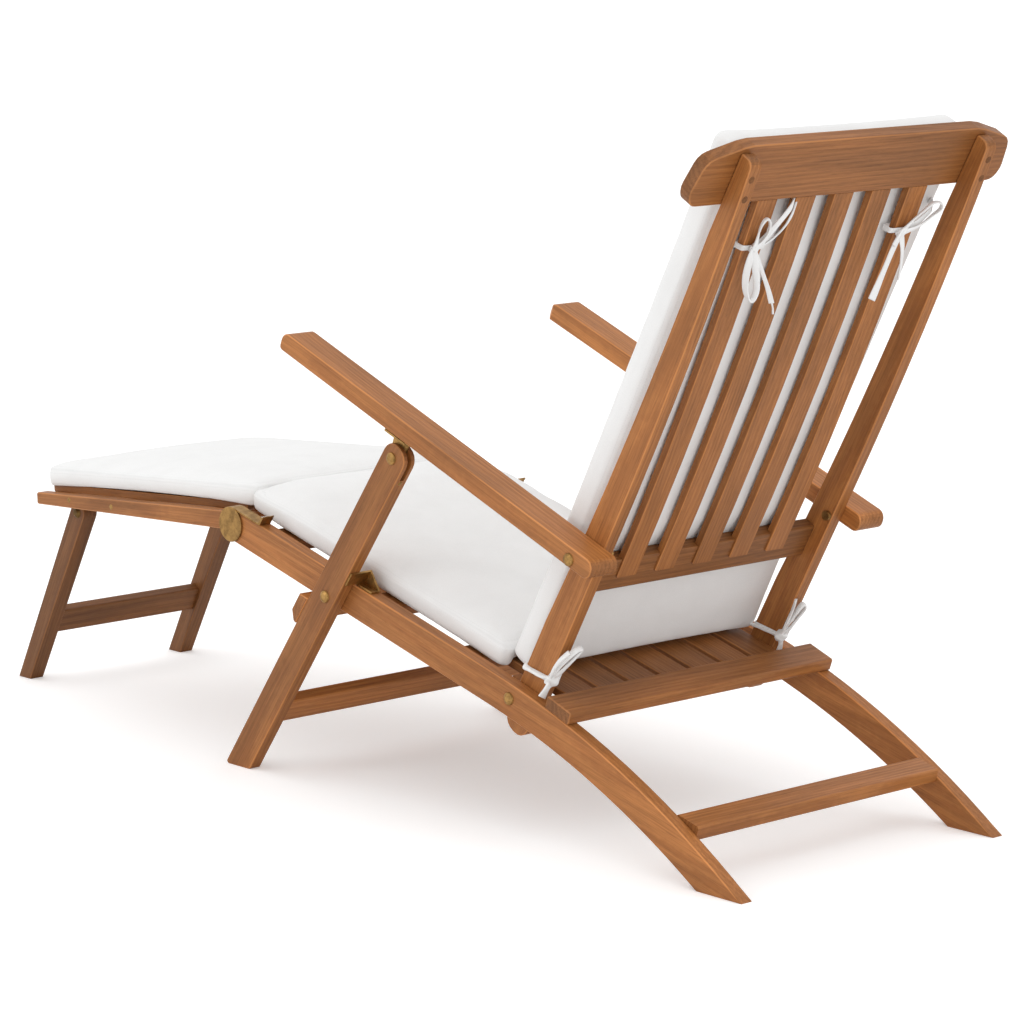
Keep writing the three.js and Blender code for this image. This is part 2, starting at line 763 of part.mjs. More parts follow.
function addFootRails(frame) {
  const nose = footRailHingeDepth / 2;
  const tip = footRailTipDepth / 2;
  const outline = roundedOutline([
    [-footRailLength, -tip, boardCorner],
    [nose, -nose, nose],
    [nose, nose, nose],
    [-footRailLength, tip, boardCorner],
  ]);
  const holes = [{ x: 0, y: 0, radius: hingePinRadius + boltClearance }];
  bothSides.forEach(([label, side]) => {
    piece(frame, `foot_rail_${label}`, inLane(outline, side, footRailInner, footRailOuter, { holes }), teak);
  });
}

// Battens and slats share the slope of the rails' top edges
const footTopTilt = Math.atan2((footRailHingeDepth - footRailTipDepth) / 2, footRailLength);

function addFootBattens(frame) {
  footBattenPlaces.forEach((reach, i) => {
    const batten = frameAt(frame, -reach, footTop(reach) - footBattenDrop, footTopTilt);
    const half = footBattenWidth / 2;
    const outline = rectangle(-half, half, -footBattenThickness, 0, boardCorner);
    const across = footRailInner - seat;
    piece(batten, `foot_batten_${i + 1}`, acrossX(outline, -across, across, { ease: 0 }), teak);
  });
}

function addFootSlats(frame) {
  const deck = frameAt(frame, 0, footTop(0), footTopTilt);
  const low = seat - footBattenDrop;
  const outline = rectangle(-footRailLength + boardCorner, -footSlatRear, low, low + slatThickness, boardCorner);
  for (let i = 0; i < footSlatCount; i += 1) {
    const from = (i - (footSlatCount - 1) / 2) * footSlatPitch - footSlatWidth / 2;
    piece(deck, `foot_slat_${i + 1}`, acrossX(outline, from, from + footSlatWidth, { ease: slatEase }), teak);
  }
}

// Footrest legs hang under the front batten, and their top ends turn clear of it
const footLegTopRadius = footLegTopDepth / 2;
const footBattenUnderside = footTop(footBattenPlaces[0]) - footBattenDrop - footBattenThickness;
const footLegPivot = {
  y: -footRailLength + footLegSetback,
  z: footBattenUnderside - laneGap - footLegTopRadius,
};
const footLegPivotWorld = outOf(0, footHingeHeight, footSlope, footLegPivot.y, footLegPivot.z);

function addFootLegs(frame) {
  const tip = footLegTipDepth / 2;
  const floorAt = (across) => (across * Math.cos(footLegAngle) - footLegPivotWorld.z) / Math.sin(footLegAngle);
  const top = new THREE.Path().absarc(0, 0, footLegTopRadius, 0, Math.PI, false).getPoints(12);
  const foot = [new THREE.Vector2(-tip, floorAt(-tip)), new THREE.Vector2(tip, floorAt(tip))];
  const outline = [...top, ...foot];
  const holes = [{ x: 0, y: 0, radius: boltRadius + boltClearance }];
  bothSides.forEach(([label, side]) => {
    piece(frame, `foot_leg_${label}`, inLane(outline, side, footLegInner, footLegOuter, { holes }), teak);
  });
}

function addFootLegStretcher(frame) {
  const middle = (footLegStretcherHeight - footLegPivotWorld.z) / Math.sin(footLegAngle);
  const half = footLegStretcherThickness / 2;
  const reach = footLegInner - seat;
  const low = middle - footLegStretcherWidth / 2;
  const outline = rectangle(-half, half, low, low + footLegStretcherWidth, boardCorner);
  piece(frame, 'foot_leg_stretcher', acrossX(outline, -reach, reach, { ease: 0 }), teak);
}

// Angle bracket under the front batten with the pin of one footrest leg
function addFootLegBracket(frame, label, side) {
  const leafTop = footBattenUnderside - seat - laneGap / 2;
  const lugFace = footLegInner - seat;
  const lugOutline = roundedOutline([
    [footLegPivot.y - legBracketLugRadius, footLegPivot.z - legBracketLugRadius, legBracketLugRadius],
    [footLegPivot.y + legBracketLugRadius, footLegPivot.z - legBracketLugRadius, legBracketLugRadius],
    [footLegPivot.y + legBracketLugRadius, leafTop],
    [footLegPivot.y - legBracketLugRadius, leafTop],
  ]);
  const lug = inLane(lugOutline, side, lugFace - sheetThickness, lugFace, { ease: 0 });
  const leafFront = footLegPivot.y - legBracketLugRadius;
  const leafRear = leafFront + legBracketLeafLength;
  const leafOutline = rectangle(leafFront, leafRear, leafTop - sheetThickness, leafTop);
  const leaf = inLane(leafOutline, side, lugFace - legBracketLeafWidth, lugFace, { ease: 0 });
  const headFace = footLegOuter;
  const headTop = headFace + seat + boltHeadHeight;
  const pinProfile = [
    [lugFace - sheetThickness / 2, 0],
    [lugFace - sheetThickness / 2, boltRadius],
    [headFace + seat, boltRadius],
    [headFace + seat, boltHeadRadius],
    [headTop, boltHeadRadius / 2],
    [headTop, 0],
  ];
  const pin = turnedPin(onSide(pinProfile, side), footLegPivot.y, footLegPivot.z);
  piece(frame, `foot_leg_bracket_${label}`, joined(lug, leaf, pin), brass);
}

// Points round a panel with rounded corners, the same number for every size
function panelRing(halfX, halfY, corner) {
  const corners = [[1, 1, 0], [-1, 1, 1], [-1, -1, 2], [1, -1, 3]];
  const arcs = corners.map(([sideX, sideY, quarter]) => Array.from({ length: cushionCornerSteps + 1 }, (_, i) => {
    const angle = (quarter + i / cushionCornerSteps) * Math.PI / 2;
    return new THREE.Vector2(
      sideX * (halfX - corner) + corner * Math.cos(angle),
      sideY * (halfY - corner) + corner * Math.sin(angle),
    );
  }));
  return arcs.flatMap((arc, i) => {
    const next = arcs[(i + 1) % arcs.length][0];
    const cells = i % 2 === 0 ? cushionCellsAcross : cushionCellsAlong;
    const side = Array.from({ length: cells - 1 }, (_, k) => arc.at(-1).clone().lerp(next, (k + 1) / cells));
    return [...arc, ...side];
  });
}

// A stuffed section: flat below, crowned above, with a rounded rim and sides drawn in between the corners
function cushionGeometry({ width, thickness, crown, from, to }) {
  const halfX = width / 2;
  const halfY = (to - from) / 2;
  const half = thickness / 2;
  const faceX = halfX - cushionEdgeRadius;
  const faceY = halfY - cushionEdgeRadius;
  const crownAt = ({ x, y }) => crown * (1 - (x / faceX) ** 2) * (1 - (y / faceY) ** 4);
  const drawnIn = ({ x, y }) => new THREE.Vector2(
    x - (x / halfX) * cushionSideDraw * (1 - (y / halfY) ** 2),
    y - (y / halfY) * cushionSideDraw * (1 - (x / halfX) ** 2),
  );
  const loop = (ring, height) => ring.map((point) => {
    const { x, y } = drawnIn(point);
    return [x, y, height(point)];
  });
  const faceCorner = cushionCornerRadius - cushionEdgeRadius;
  const faceRing = (share) => panelRing(faceX * share, faceY * share, faceCorner * share);
  const under = cushionFaceShares.map((share) => loop(faceRing(share), () => -half));
  const rim = Array.from({ length: cushionRimSteps + 1 }, (_, i) => {
    const angle = (i / cushionRimSteps - 1 / 2) * Math.PI;
    const reach = cushionEdgeRadius * Math.cos(angle);
    const ring = panelRing(faceX + reach, faceY + reach, faceCorner + reach);
    return loop(ring, () => half * Math.sin(angle));
  });
  const over = cushionFaceShares.map((share) => loop(faceRing(share), (point) => half + crownAt(point))).reverse();
  const loops = [...under, ...rim, ...over];
  const count = loops[0].length;
  const vertices = [[0, 0, -half], ...loops.flat(), [0, 0, half + crown]];
  const index = [];
  for (let i = 0; i < count; i += 1) {
    const next = (i + 1) % count;
    index.push(0, 1 + next, 1 + i);
    for (let k = 0; k < loops.length - 1; k += 1) {
      const low = 1 + k * count;
      const high = low + count;
      index.push(low + i, low + next, high + next, low + i, high + next, high + i);
    }
    const last = vertices.length - 1 - count;
    index.push(last + i, last + next, vertices.length - 1);
  }
  const geometry = new THREE.BufferGeometry();
  geometry.setAttribute('position', new THREE.BufferAttribute(new Float32Array(vertices.flat()), 3));
  geometry.setIndex(index);
  geometry.computeVertexNormals();
  return geometry;
}

// A section lies in a frame whose +Z is its upper side; the back section is turned to face forward
function addCushion(frame, name, size) {
  const geometry = cushionGeometry(size).translate(0, (size.from + size.to) / 2, size.thickness / 2 + cushionRest);
  piece(frame, name, geometry, canvas);
}

// Assembly
const chair = new THREE.Group();

// The origin is on the floor, midway between the tip of the footrest legs and the ends of the seat rails
const frontTip = footLegPivotWorld.y
  + ((-footLegTipDepth / 2) * Math.cos(footLegAngle) - footLegPivotWorld.z) / Math.tan(footLegAngle)
  - (footLegTipDepth / 2) * Math.sin(footLegAngle);
const railTip = outOf(0, footHingeHeight, -railSlope,
  railStraight + (railBendRadius + railHalf) * Math.sin(floorTurn(railHalf)),
  (railBendRadius + railHalf) * Math.cos(floorTurn(railHalf)) - railBendRadius);
const built = new THREE.Group();
built.position.y = -(frontTip + railTip.y) / 2;
chair.add(built);

const seatFrame = frameAt(built, 0, footHingeHeight, -railSlope);
addSeatRails(seatFrame);
addCrossRail(seatFrame, 'seat_cross_rail_front', frontCrossRailAt);
addCrossRail(seatFrame, 'seat_cross_rail_middle', middleCrossRailAt);
addCrossRail(seatFrame, 'seat_cross_rail_rear', rearCrossRailAt);
addSeatSlats(seatFrame);
addRearPlank(seatFrame);
addRearStretcher(seatFrame);
addHingePlates(seatFrame);
addStopBrackets(seatFrame);
addStopBar(built);
bothSides.forEach(([label, side]) => {
  addBolt(seatFrame, `back_bolt_${label}`, side, railOuter, stileInner, backPivotInSeat.y, backPivotInSeat.z);
  addBolt(seatFrame, `leg_bolt_${label}`, side, legOuter, railInner, legPivotInSeat.y, legPivotInSeat.z);
});

const legFrame = frameAt(built, legPivot.y, legPivot.z, legTilt);
addFrontLegs(legFrame);
addLegStretcher(legFrame);

const backFrame = frameAt(built, backPivot.y, backPivot.z, backTilt);
addStiles(backFrame);
addHeadRail(backFrame);
addLowerRail(backFrame);
addBackSlats(backFrame);

const armFrame = frameAt(built, armPivot.y, armPivot.z, -armSlope);
bothSides.forEach(([label, side]) => {
  addArm(armFrame, label, side);
  addArmTongue(armFrame, label, side);
  addBolt(armFrame, `arm_bolt_${label}`, side, armOuter, stileInner, 0, 0);
});

// The back section leans from the feet of the stiles to the front of the head rail, with its length upwards
const cushionFoot = stileShift - boardWidth / 2 - seat;
const cushionHeadLean = Math.atan2(headRailThickness, headRailTop - headRailHeight);
const backCushionFrame = frameAt(backFrame, cushionFoot, 0, Math.PI / 2 + cushionHeadLean);
addCushion(backCushionFrame, 'cushion_back', backCushion);
addCushion(frameAt(seatFrame, 0, slatTop, 0), 'cushion_seat', seatCushion);

const footFrame = frameAt(built, 0, footHingeHeight, footSlope);
addFootRails(footFrame);
addFootBattens(footFrame);
addFootSlats(footFrame);
bothSides.forEach(([label, side]) => addFootLegBracket(footFrame, label, side));
const footDeckTop = footTop(0) - footBattenDrop + seat + slatThickness;
addCushion(frameAt(footFrame, 0, footDeckTop, footTopTilt), 'cushion_footrest', footCushion);

const footLegFrame = frameAt(built, footLegPivotWorld.y, footLegPivotWorld.z, footLegAngle - Math.PI / 2);
addFootLegs(footLegFrame);
addFootLegStretcher(footLegFrame);

export default chair;
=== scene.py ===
"""Looks of the steamer deck chair: oiled teak, brass fittings, a tied three-part canvas cushion.

Metres throughout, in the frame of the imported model: the sitter faces -Y, and their left side is +X.
"""
import math
from typing import NamedTuple

import bpy
import numpy as np
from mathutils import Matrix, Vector


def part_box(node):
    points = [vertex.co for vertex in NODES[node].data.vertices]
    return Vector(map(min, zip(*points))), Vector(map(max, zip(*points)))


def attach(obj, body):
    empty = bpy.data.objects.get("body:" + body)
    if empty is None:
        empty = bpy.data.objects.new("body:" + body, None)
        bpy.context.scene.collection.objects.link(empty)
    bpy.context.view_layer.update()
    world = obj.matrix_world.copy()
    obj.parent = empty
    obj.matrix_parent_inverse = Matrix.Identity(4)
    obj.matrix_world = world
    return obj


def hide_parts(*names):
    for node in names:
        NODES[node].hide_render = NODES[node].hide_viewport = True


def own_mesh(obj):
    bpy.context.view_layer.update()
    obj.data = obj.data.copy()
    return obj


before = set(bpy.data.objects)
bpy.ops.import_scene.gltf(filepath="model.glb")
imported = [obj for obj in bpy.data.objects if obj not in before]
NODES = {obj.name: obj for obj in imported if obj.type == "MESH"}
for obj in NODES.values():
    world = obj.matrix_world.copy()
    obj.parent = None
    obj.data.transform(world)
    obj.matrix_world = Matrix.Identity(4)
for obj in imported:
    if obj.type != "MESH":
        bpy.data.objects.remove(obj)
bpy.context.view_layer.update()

bl_info = {
    "name": "Steamer deck chair",
    "version": (1, 0, 0),
    "blender": (4, 5, 0),
    "location": "3D View > Sidebar > Deck chair",
    "description": "Timber, brass, cushion, ties and stage around the packed deck chair",
    "category": "Object",
}

# Axes of the chair's turned parts, as angles above the horizontal seen from the sitter's left
SEAT_SLOPE = math.radians(-14.9)
BACK_ANGLE = math.radians(61)
LEG_ANGLE = math.radians(54.4)
ARM_SLOPE = math.radians(-20.9)
FOOT_SLOPE = math.radians(3.47)
FOOT_LEG_ANGLE = math.radians(62)

# Pivots as (Y, Z)
FOOT_HINGE = np.array([-0.17927, 0.347])
BACK_PIVOT = np.array([0.41465, 0.19099])


# Points and curves

def turned(angle):
    """Unit vectors (Y, Z) along and square to a direction at that angle."""
    along = np.array([math.cos(angle), math.sin(angle)])
    return along, np.array([-along[1], along[0]])


def placed(local, origin, angle):
    """Points (x, along, up) of a turned part, as points of the chair: the YZ pair is turned and moved."""
    local = np.asarray(local, float)
    along, up = turned(angle)
    flat = origin + local[..., 1:2] * along + local[..., 2:3] * up
    return np.concatenate([local[..., :1], flat], axis=-1)


def on_back(points):
    """Points (x, rearward, up the back) of the backrest, as points of the chair."""
    points = np.asarray(points, float)
    local = np.stack([points[..., 0], points[..., 2], -points[..., 1]], axis=-1)
    return placed(local, BACK_PIVOT, BACK_ANGLE)


def metres(millimetres):
    """Millimetres as metres."""
    return np.array(millimetres) / 1000


def unit(vectors):
    """Vectors at a length of 1."""
    return vectors / np.maximum(np.linalg.norm(vectors, axis=-1, keepdims=True), 1e-9)


def eased(value, start, end):
    """3t^2 - 2t^3 of how far a value has gone from start to end."""
    share = np.clip((value - start) / (end - start), 0, 1)
    return share * share * (3 - 2 * share)


def boxed(value, power):
    """A sine or cosine raised to a power below 1 with its sign kept, which squares up a circle."""
    return np.sign(value) * np.abs(value) ** power


def smooth_path(points, count):
    """Catmull-Rom curve through the points, read at even lengths: each span is a cubic of its four neighbours."""
    steps = 24
    p = np.asarray(points, float)
    p = np.concatenate([[2 * p[0] - p[1]], p, [2 * p[-1] - p[-2]]])
    t = np.linspace(0, 1, steps, endpoint=False)[:, None, None]
    a, b, c, d = p[:-3], p[1:-2], p[2:-1], p[3:]
    square, cube = 2 * a - 5 * b + 4 * c - d, 3 * b - a - 3 * c + d
    curve = 0.5 * (2 * b + (c - a) * t + square * t ** 2 + cube * t ** 3)
    curve = np.concatenate([curve.transpose(1, 0, 2).reshape(-1, 3), p[-2:-1]])
    length = np.concatenate([[0], np.cumsum(np.linalg.norm(np.diff(curve, axis=0), axis=1))])
    even = np.linspace(0, length[-1], count)
    return np.stack([np.interp(even, length, curve[:, k]) for k in range(3)], axis=-1)


# Meshes

def mesh_piece(name, verts, faces, smooth=True):
    """A mesh object at the origin from arrays of vertices and quads or triangles."""
    mesh = bpy.data.meshes.new(name)
    mesh.from_pydata(np.asarray(verts, float).tolist(), [], [list(map(int, face)) for face in faces])
    mesh.validate()
    if smooth:
        mesh.polygons.foreach_set("use_smooth", np.ones(len(mesh.polygons), bool))
    mesh.update()
    piece = bpy.data.objects.new(name, mesh)
    bpy.context.scene.collection.objects.link(piece)
    return piece


def tube_faces(rows, columns):
    """Quads between rings of points, each ring wrapping round."""
    i, j = np.meshgrid(np.arange(rows - 1), np.arange(columns), indexing="ij")
    here, there = i * columns, (i + 1) * columns
    following = (j + 1) % columns
    return np.stack([here + j, here + following, there + following, there + j], -1).reshape(-1, 4)


def capped_tube(rings):
    """Vertices and faces of rings of points joined in a row, each end closed by a fan about its middle."""
    rings = np.asarray(rings, float)
    rows, columns = rings.shape[:2]
    verts = np.concatenate([rings.reshape(-1, 3), rings[:1].mean(1), rings[-1:].mean(1)])
    j = np.arange(columns)
    following = (j + 1) % columns
    first, last = rows * columns, rows * columns + 1
    near = np.stack([following, j, np.full(columns, first)], -1)
    base = (rows - 1) * columns
    far = np.stack([base + j, base + following, np.full(columns, last)], -1)
    return verts, [*tube_faces(rows, columns), *near, *far]


def merged(parts):
    """Several shells as one list of vertices and faces."""
    verts, faces, start = [], [], 0
    for part_verts, part_faces in parts:
        verts.append(part_verts)
        faces.extend([np.asarray(face) + start for face in part_faces])
        start += len(part_verts)
    return np.concatenate(verts), faces


def read_points(mesh):
    """The mesh's vertices as an array."""
    points = np.empty(len(mesh.vertices) * 3)
    mesh.vertices.foreach_get("co", points)
    return points.reshape(-1, 3)


def evaluated_mesh(piece):
    """The piece's mesh with its modifiers applied, as a new mesh."""
    found = piece.evaluated_get(bpy.context.evaluated_depsgraph_get())
    return bpy.data.meshes.new_from_object(found)


# Materials

# A wave texture goes through this many radians in a metre at a scale of 1
WAVE_RATE = 20

# Stitches of the cover: distance from the seam, half the thread, a stitch with its gap, and the stitch's share
STITCH_GAP, STITCH_HALF, STITCH_STEP, STITCH_SHARE = 0.0045, 0.0006, 0.0042, 0.66


def material(name, build, **values):
    """A material whose node tree is made by build(tree, shader), with plain values on the shader's sockets."""
    made = bpy.data.materials.new(name)
    made.use_nodes = True
    tree = made.node_tree
    shader = tree.nodes["Principled BSDF"]
    for socket, value in values.items():
        shader.inputs[socket.replace("_", " ")].default_value = value
    build(tree, shader)
    return made


def feed(tree, socket, value):
    """Joins an input to the output given, or sets it to the value given."""
    if isinstance(value, bpy.types.NodeSocket):
        tree.links.new(value, socket)
    else:
        socket.default_value = value


def node(tree, kind, inputs=None, **settings):
    """One shader node with its settings, and each input joined to a socket or set to a value."""
    made = tree.nodes.new("ShaderNode" + kind)
    for setting, value in settings.items():
        setattr(made, setting, value)
    for socket, value in (inputs or {}).items():
        feed(tree, made.inputs[socket], value)
    return made


def mapped(tree, vector, **inputs):
    """A pattern's place, moved, turned and scaled."""
    return node(tree, "Mapping", {"Vector": vector, **inputs}).outputs["Vector"]


def noise(tree, vector, scale, detail, roughness=0.5, distortion=0.0, output="Fac"):
    """Clouds of noise at a place."""
    return node(tree, "TexNoise", {"Vector": vector, "Scale": scale, "Detail": detail, "Roughness": roughness,
                                   "Distortion": distortion}).outputs[output]


def streaks(tree, board, shift, cells, detail, roughness=0.5, output="Fac"):
    """Noise drawn out along a board, by its cells in a metre across, along and through it."""
    return noise(tree, mapped(tree, board, Location=shift, Scale=cells), 1.0, detail, roughness, output=output)


def vector_sum(tree, operation, first, second):
    """Two vectors added or subtracted."""
    return node(tree, "VectorMath", {0: first, 1: second}, operation=operation).outputs[0]


def bump(tree, height, strength, distance, **inputs):
    """Normals tilted by a height."""
    return node(tree, "Bump", {"Height": height, "Strength": strength, "Distance": distance,
                               **inputs}).outputs["Normal"]


def ramp(tree, factor, *stops):
    """A ramp through (place, grey) stops."""
    made = node(tree, "ValToRGB", {"Fac": factor})
    elements = made.color_ramp.elements
    while len(elements) < len(stops):
        elements.new(0.5)
    for element, (place, grey) in zip(elements, stops):
        element.position = place
        element.color = (grey, grey, grey, 1)
    return made.outputs["Color"]


def blended(tree, factor, first, second, way="MIX"):
    """Two colours mixed by a factor, each of them a socket or three numbers."""
    made = node(tree, "Mix", data_type="RGBA", blend_type=way)
    feed(tree, made.inputs[0], factor)
    for socket, colour in ((made.inputs[6], first), (made.inputs[7], second)):
        feed(tree, socket, colour if isinstance(colour, bpy.types.NodeSocket) else (*colour, 1))
    return made.outputs[2]


def times(tree, first, second):
    """Two colours multiplied."""
    return blended(tree, 1.0, first, second, "MULTIPLY")


def math_node(tree, operation, first, second=0.0, third=0.0):
    """One sum of up to three numbers."""
    made = node(tree, "Math", operation=operation)
    for socket, value in zip(made.inputs, (first, second, third)):
        feed(tree, socket, value)
    return made.outputs[0]


def facing_share(tree, axis):
    """How far a face is turned to an axis of the object, 0 to 1, whatever way it points along it."""
    normal = node(tree, "NewGeometry").outputs["True Normal"]
    own = node(tree, "VectorTransform", {"Vector": normal}, vector_type="NORMAL", convert_from="WORLD",
               convert_to="OBJECT")
    turned_to = node(tree, "VectorMath", {0: own.outputs[0], 1: tuple(axis)}, operation="DOT_PRODUCT")
    return math_node(tree, "ABSOLUTE", turned_to.outputs["Value"])


def teak(name, centre, turn, light, dark, seed, gloss, grain=(0, 1, 0), across=(1, 0, 0)):
    """Oiled teak: growth rings about a pith beside the board, fibres and pores drawn out along its length. Its
    eased arrises, the narrow faces between the sides, are painted paler: partly rubbed wear, partly a painted
    highlight where the edges catch the light. Its end grain is darker."""
    draw = np.random.default_rng(seed)
    side, depth, shift = draw.uniform(0.05, 0.12), draw.uniform(-0.05, 0.05), draw.uniform(0, 9)
    brightness = draw.uniform(0.9, 1.1)
    plain = tuple((np.array(light) * 0.6 + np.array(dark) * 0.4).tolist())
    pale = tuple(min(1, c * 1.45 + 0.02) for c in light)
    plainness, wander = 0.72, 0.05

    def build(tree, shader):
        place = node(tree, "TexCoord").outputs["Object"]
        board = node(tree, "Mapping", {"Vector": place, "Location": centre, "Rotation": turn},
                     vector_type="TEXTURE").outputs["Vector"]
        drift = streaks(tree, board, (shift, shift, 0), (9, 1.6, 9), 2.0, output="Color")
        bent = vector_sum(tree, "SUBTRACT", drift, (0.5, 0.5, 0.5))
        bent = node(tree, "VectorMath", {0: bent, "Scale": wander}, operation="SCALE").outputs[0]
        heart = mapped(tree, board, Location=(side, 0, depth))
        grown = vector_sum(tree, "ADD", heart, bent)
        rings = node(tree, "TexWave", {"Vector": grown, "Scale": 44.0, "Distortion": 1.6, "Detail": 3.0,
                                       "Detail Scale": 2.0}, wave_type="RINGS", rings_direction="Y")
        fibre = streaks(tree, board, (shift, 0, shift), (420, 7, 420), 5.0, 0.62)
        pores = streaks(tree, board, (0, shift, shift), (1500, 34, 1500), 2.0)
        cloud = streaks(tree, board, (shift, shift, shift), (30, 4, 30), 3.0)

        ringed = blended(tree, ramp(tree, rings.outputs["Fac"], (0.15, 0.0), (0.85, 1.0)), light, dark)
        even = blended(tree, plainness, ringed, plain)
        streaked = times(tree, even, ramp(tree, fibre, (0.32, 0.74), (0.66, 1.07)))
        pored = times(tree, streaked, ramp(tree, pores, (0.30, 0.72), (0.44, 1.0)))
        toned = times(tree, pored, ramp(tree, cloud, (0.32, 0.78 * brightness), (0.68, 1.12 * brightness)))
        # The eased arrises are painted paler: partly rubbed wear, partly a painted highlight of the light they catch
        arris = ramp(tree, facing_share(tree, across), (0.40, 0.0), (0.50, 0.55), (0.85, 0.55), (0.95, 0.0))
        rubbed = math_node(tree, "MULTIPLY", arris, ramp(tree, cloud, (0.3, 0.4), (0.6, 1.0)))
        worn_and_highlit = blended(tree, rubbed, toned, pale)
        ends = ramp(tree, facing_share(tree, grain), (0.55, 1.0), (0.8, 0.74))
        feed(tree, shader.inputs["Base Color"], times(tree, worn_and_highlit, ends))
        feed(tree, shader.inputs["Roughness"], ramp(tree, fibre, (0.3, gloss + 0.14), (0.7, gloss)))

        relief = math_node(tree, "ADD", fibre, math_node(tree, "MULTIPLY", pores, 0.5))
        feed(tree, shader.inputs["Normal"], bump(tree, relief, 0.22, 0.0006))

    return material(name, build, Metallic=0.0, Specular_IOR_Level=0.3)


def brass(name, colour, tarnish, seed):
    """Aged brass sheet: cloudy tarnish over a satin metal with fine rubbed scratches."""
    shift = float(np.random.default_rng(seed).uniform(0, 5))

    def build(tree, shader):
        place = node(tree, "TexCoord").outputs["Object"]
        moved = mapped(tree, place, Location=(shift, shift, shift))
        cloud = noise(tree, moved, 85.0, 4.0, 0.6)
        spots = noise(tree, moved, 420.0, 3.0)
        lines = streaks(tree, place, (0, 0, 0), (300, 2600, 900), 2.0)
        aged = blended(tree, ramp(tree, cloud, (0.40, 0.0), (0.66, 0.8)), colour, tarnish)
        specked = times(tree, aged, ramp(tree, spots, (0.30, 0.78), (0.48, 1.0)))
        feed(tree, shader.inputs["Base Color"], specked)
        rough = math_node(tree, "ADD", ramp(tree, cloud, (0.3, 0.30), (0.7, 0.50)),
                          math_node(tree, "MULTIPLY", lines, 0.10))
        feed(tree, shader.inputs["Roughness"], rough)
        feed(tree, shader.inputs["Normal"], bump(tree, lines, 0.08, 0.0003))

    return material(name, build, Metallic=1.0)


def canvas(name, colour, thread, stitched):
    """Plain woven cotton: two crossing rows of threads, slubs, soft creases, and stitches beside the seams. The
    creases and the cloth beside the seams are painted darker, as painted shade.
    """

    def rows(tree, place, direction):
        """One set of threads, as bands across a direction."""
        return node(tree, "TexWave", {"Vector": place, "Scale": 1 / (WAVE_RATE * thread / math.tau),
                                      "Distortion": 0.4, "Detail": 1.0},
                    wave_type="BANDS", bands_direction=direction).outputs["Fac"]

    def build(tree, shader):
        place = node(tree, "TexCoord").outputs["Object"]
        warp = rows(tree, place, "X")
        weft = rows(tree, mapped(tree, place, Rotation=(0.9, 0, 0)), "Y")
        slub = noise(tree, place, 900.0, 3.0)
        crease = noise(tree, place, 16.0, 3.0, 0.5, 0.3)
        tint = times(tree, colour, ramp(tree, slub, (0.3, 0.95), (0.7, 1.0)))
        # The creases also darken the tint, a painted shade in them
        tint = times(tree, tint, ramp(tree, crease, (0.35, 0.975), (0.6, 1.0)))
        height = math_node(tree, "ADD", math_node(tree, "ADD", warp, weft), slub)
        if stitched:
            gap = node(tree, "Attribute", attribute_name="seam_gap").outputs["Fac"]
            run = node(tree, "Attribute", attribute_name="seam_run").outputs["Fac"]
            step = math_node(tree, "FRACT", math_node(tree, "MULTIPLY", run, 1 / STITCH_STEP))
            on_thread = math_node(tree, "LESS_THAN", step, STITCH_SHARE)
            near = math_node(tree, "ABSOLUTE", math_node(tree, "SUBTRACT", gap, STITCH_GAP))
            line = math_node(tree, "LESS_THAN", near, STITCH_HALF)
            stitch = math_node(tree, "MULTIPLY", on_thread, line)
            # Painted shade: the cover is darkened beside the seams, in the groove that the pulled-in seam makes
            fold = ramp(tree, math_node(tree, "MULTIPLY", gap, 250.0), (0.0, 0.93), (0.6, 1.0))
            tint = times(tree, tint, fold)
            tint = blended(tree, stitch, tint, tuple(c * 0.92 for c in colour))
            height = math_node(tree, "MULTIPLY_ADD", line, -1.0, height)
            height = math_node(tree, "MULTIPLY_ADD", stitch, 1.0, height)
        feed(tree, shader.inputs["Base Color"], tint)
        weave = bump(tree, height, 0.25, 0.0003)
        feed(tree, shader.inputs["Normal"], bump(tree, crease, 0.35, 0.006, Normal=weave))

    return material(name, build, Roughness=0.92, Metallic=0.0, Sheen_Weight=0.25, Sheen_Roughness=0.5,
                    Specular_IOR_Level=0.2)


def dress(name, made):
    """Gives a CAD node a material in its own slot."""
    piece = NODES[name]
    if not piece.data.materials:
        piece.data.materials.append(made)
    piece.material_slots[0].material = made


# What a user would change

class ChairStageSettings(bpy.types.PropertyGroup):
    """Light and ground of the picture."""
    floor: bpy.props.FloatVectorProperty(
        name="Floor", description="Colour of the floor", default=(0.93, 0.93, 0.93), size=3, subtype="COLOR")
    sky: bpy.props.FloatProperty(
        name="Fill light", description="Level of the even light from all round", default=1.06, min=0, max=3)
    lamp: bpy.props.FloatProperty(
        name="Lamp", description="Power of the large soft lamp above", default=12, min=0, unit="POWER")


class ChairTimberSettings(bpy.types.PropertyGroup):
    """Colours of the oiled teak."""
    light: bpy.props.FloatVectorProperty(
        name="Early wood", description="Colour between the growth rings", default=(0.52, 0.205, 0.056),
        size=3, subtype="COLOR")
    dark: bpy.props.FloatVectorProperty(
        name="Late wood", description="Colour of the growth rings", default=(0.30, 0.098, 0.022),
        size=3, subtype="COLOR")
    gloss: bpy.props.FloatProperty(
        name="Roughness", description="Roughness of the oiled surface", default=0.42, min=0, max=1,
        subtype="FACTOR")
    plug: bpy.props.FloatProperty(
        name="Plug diameter", description="Diameter of the timber plugs over the screws", default=0.010,
        unit="LENGTH")


class ChairBrassSettings(bpy.types.PropertyGroup):
    """Colours of the fittings."""
    bright: bpy.props.FloatVectorProperty(
        name="Brass", description="Colour of the bare metal", default=(0.41, 0.236, 0.078), size=3,
        subtype="COLOR")
    tarnish: bpy.props.FloatVectorProperty(
        name="Tarnish", description="Colour of the aged patches", default=(0.21, 0.12, 0.042), size=3,
        subtype="COLOR")


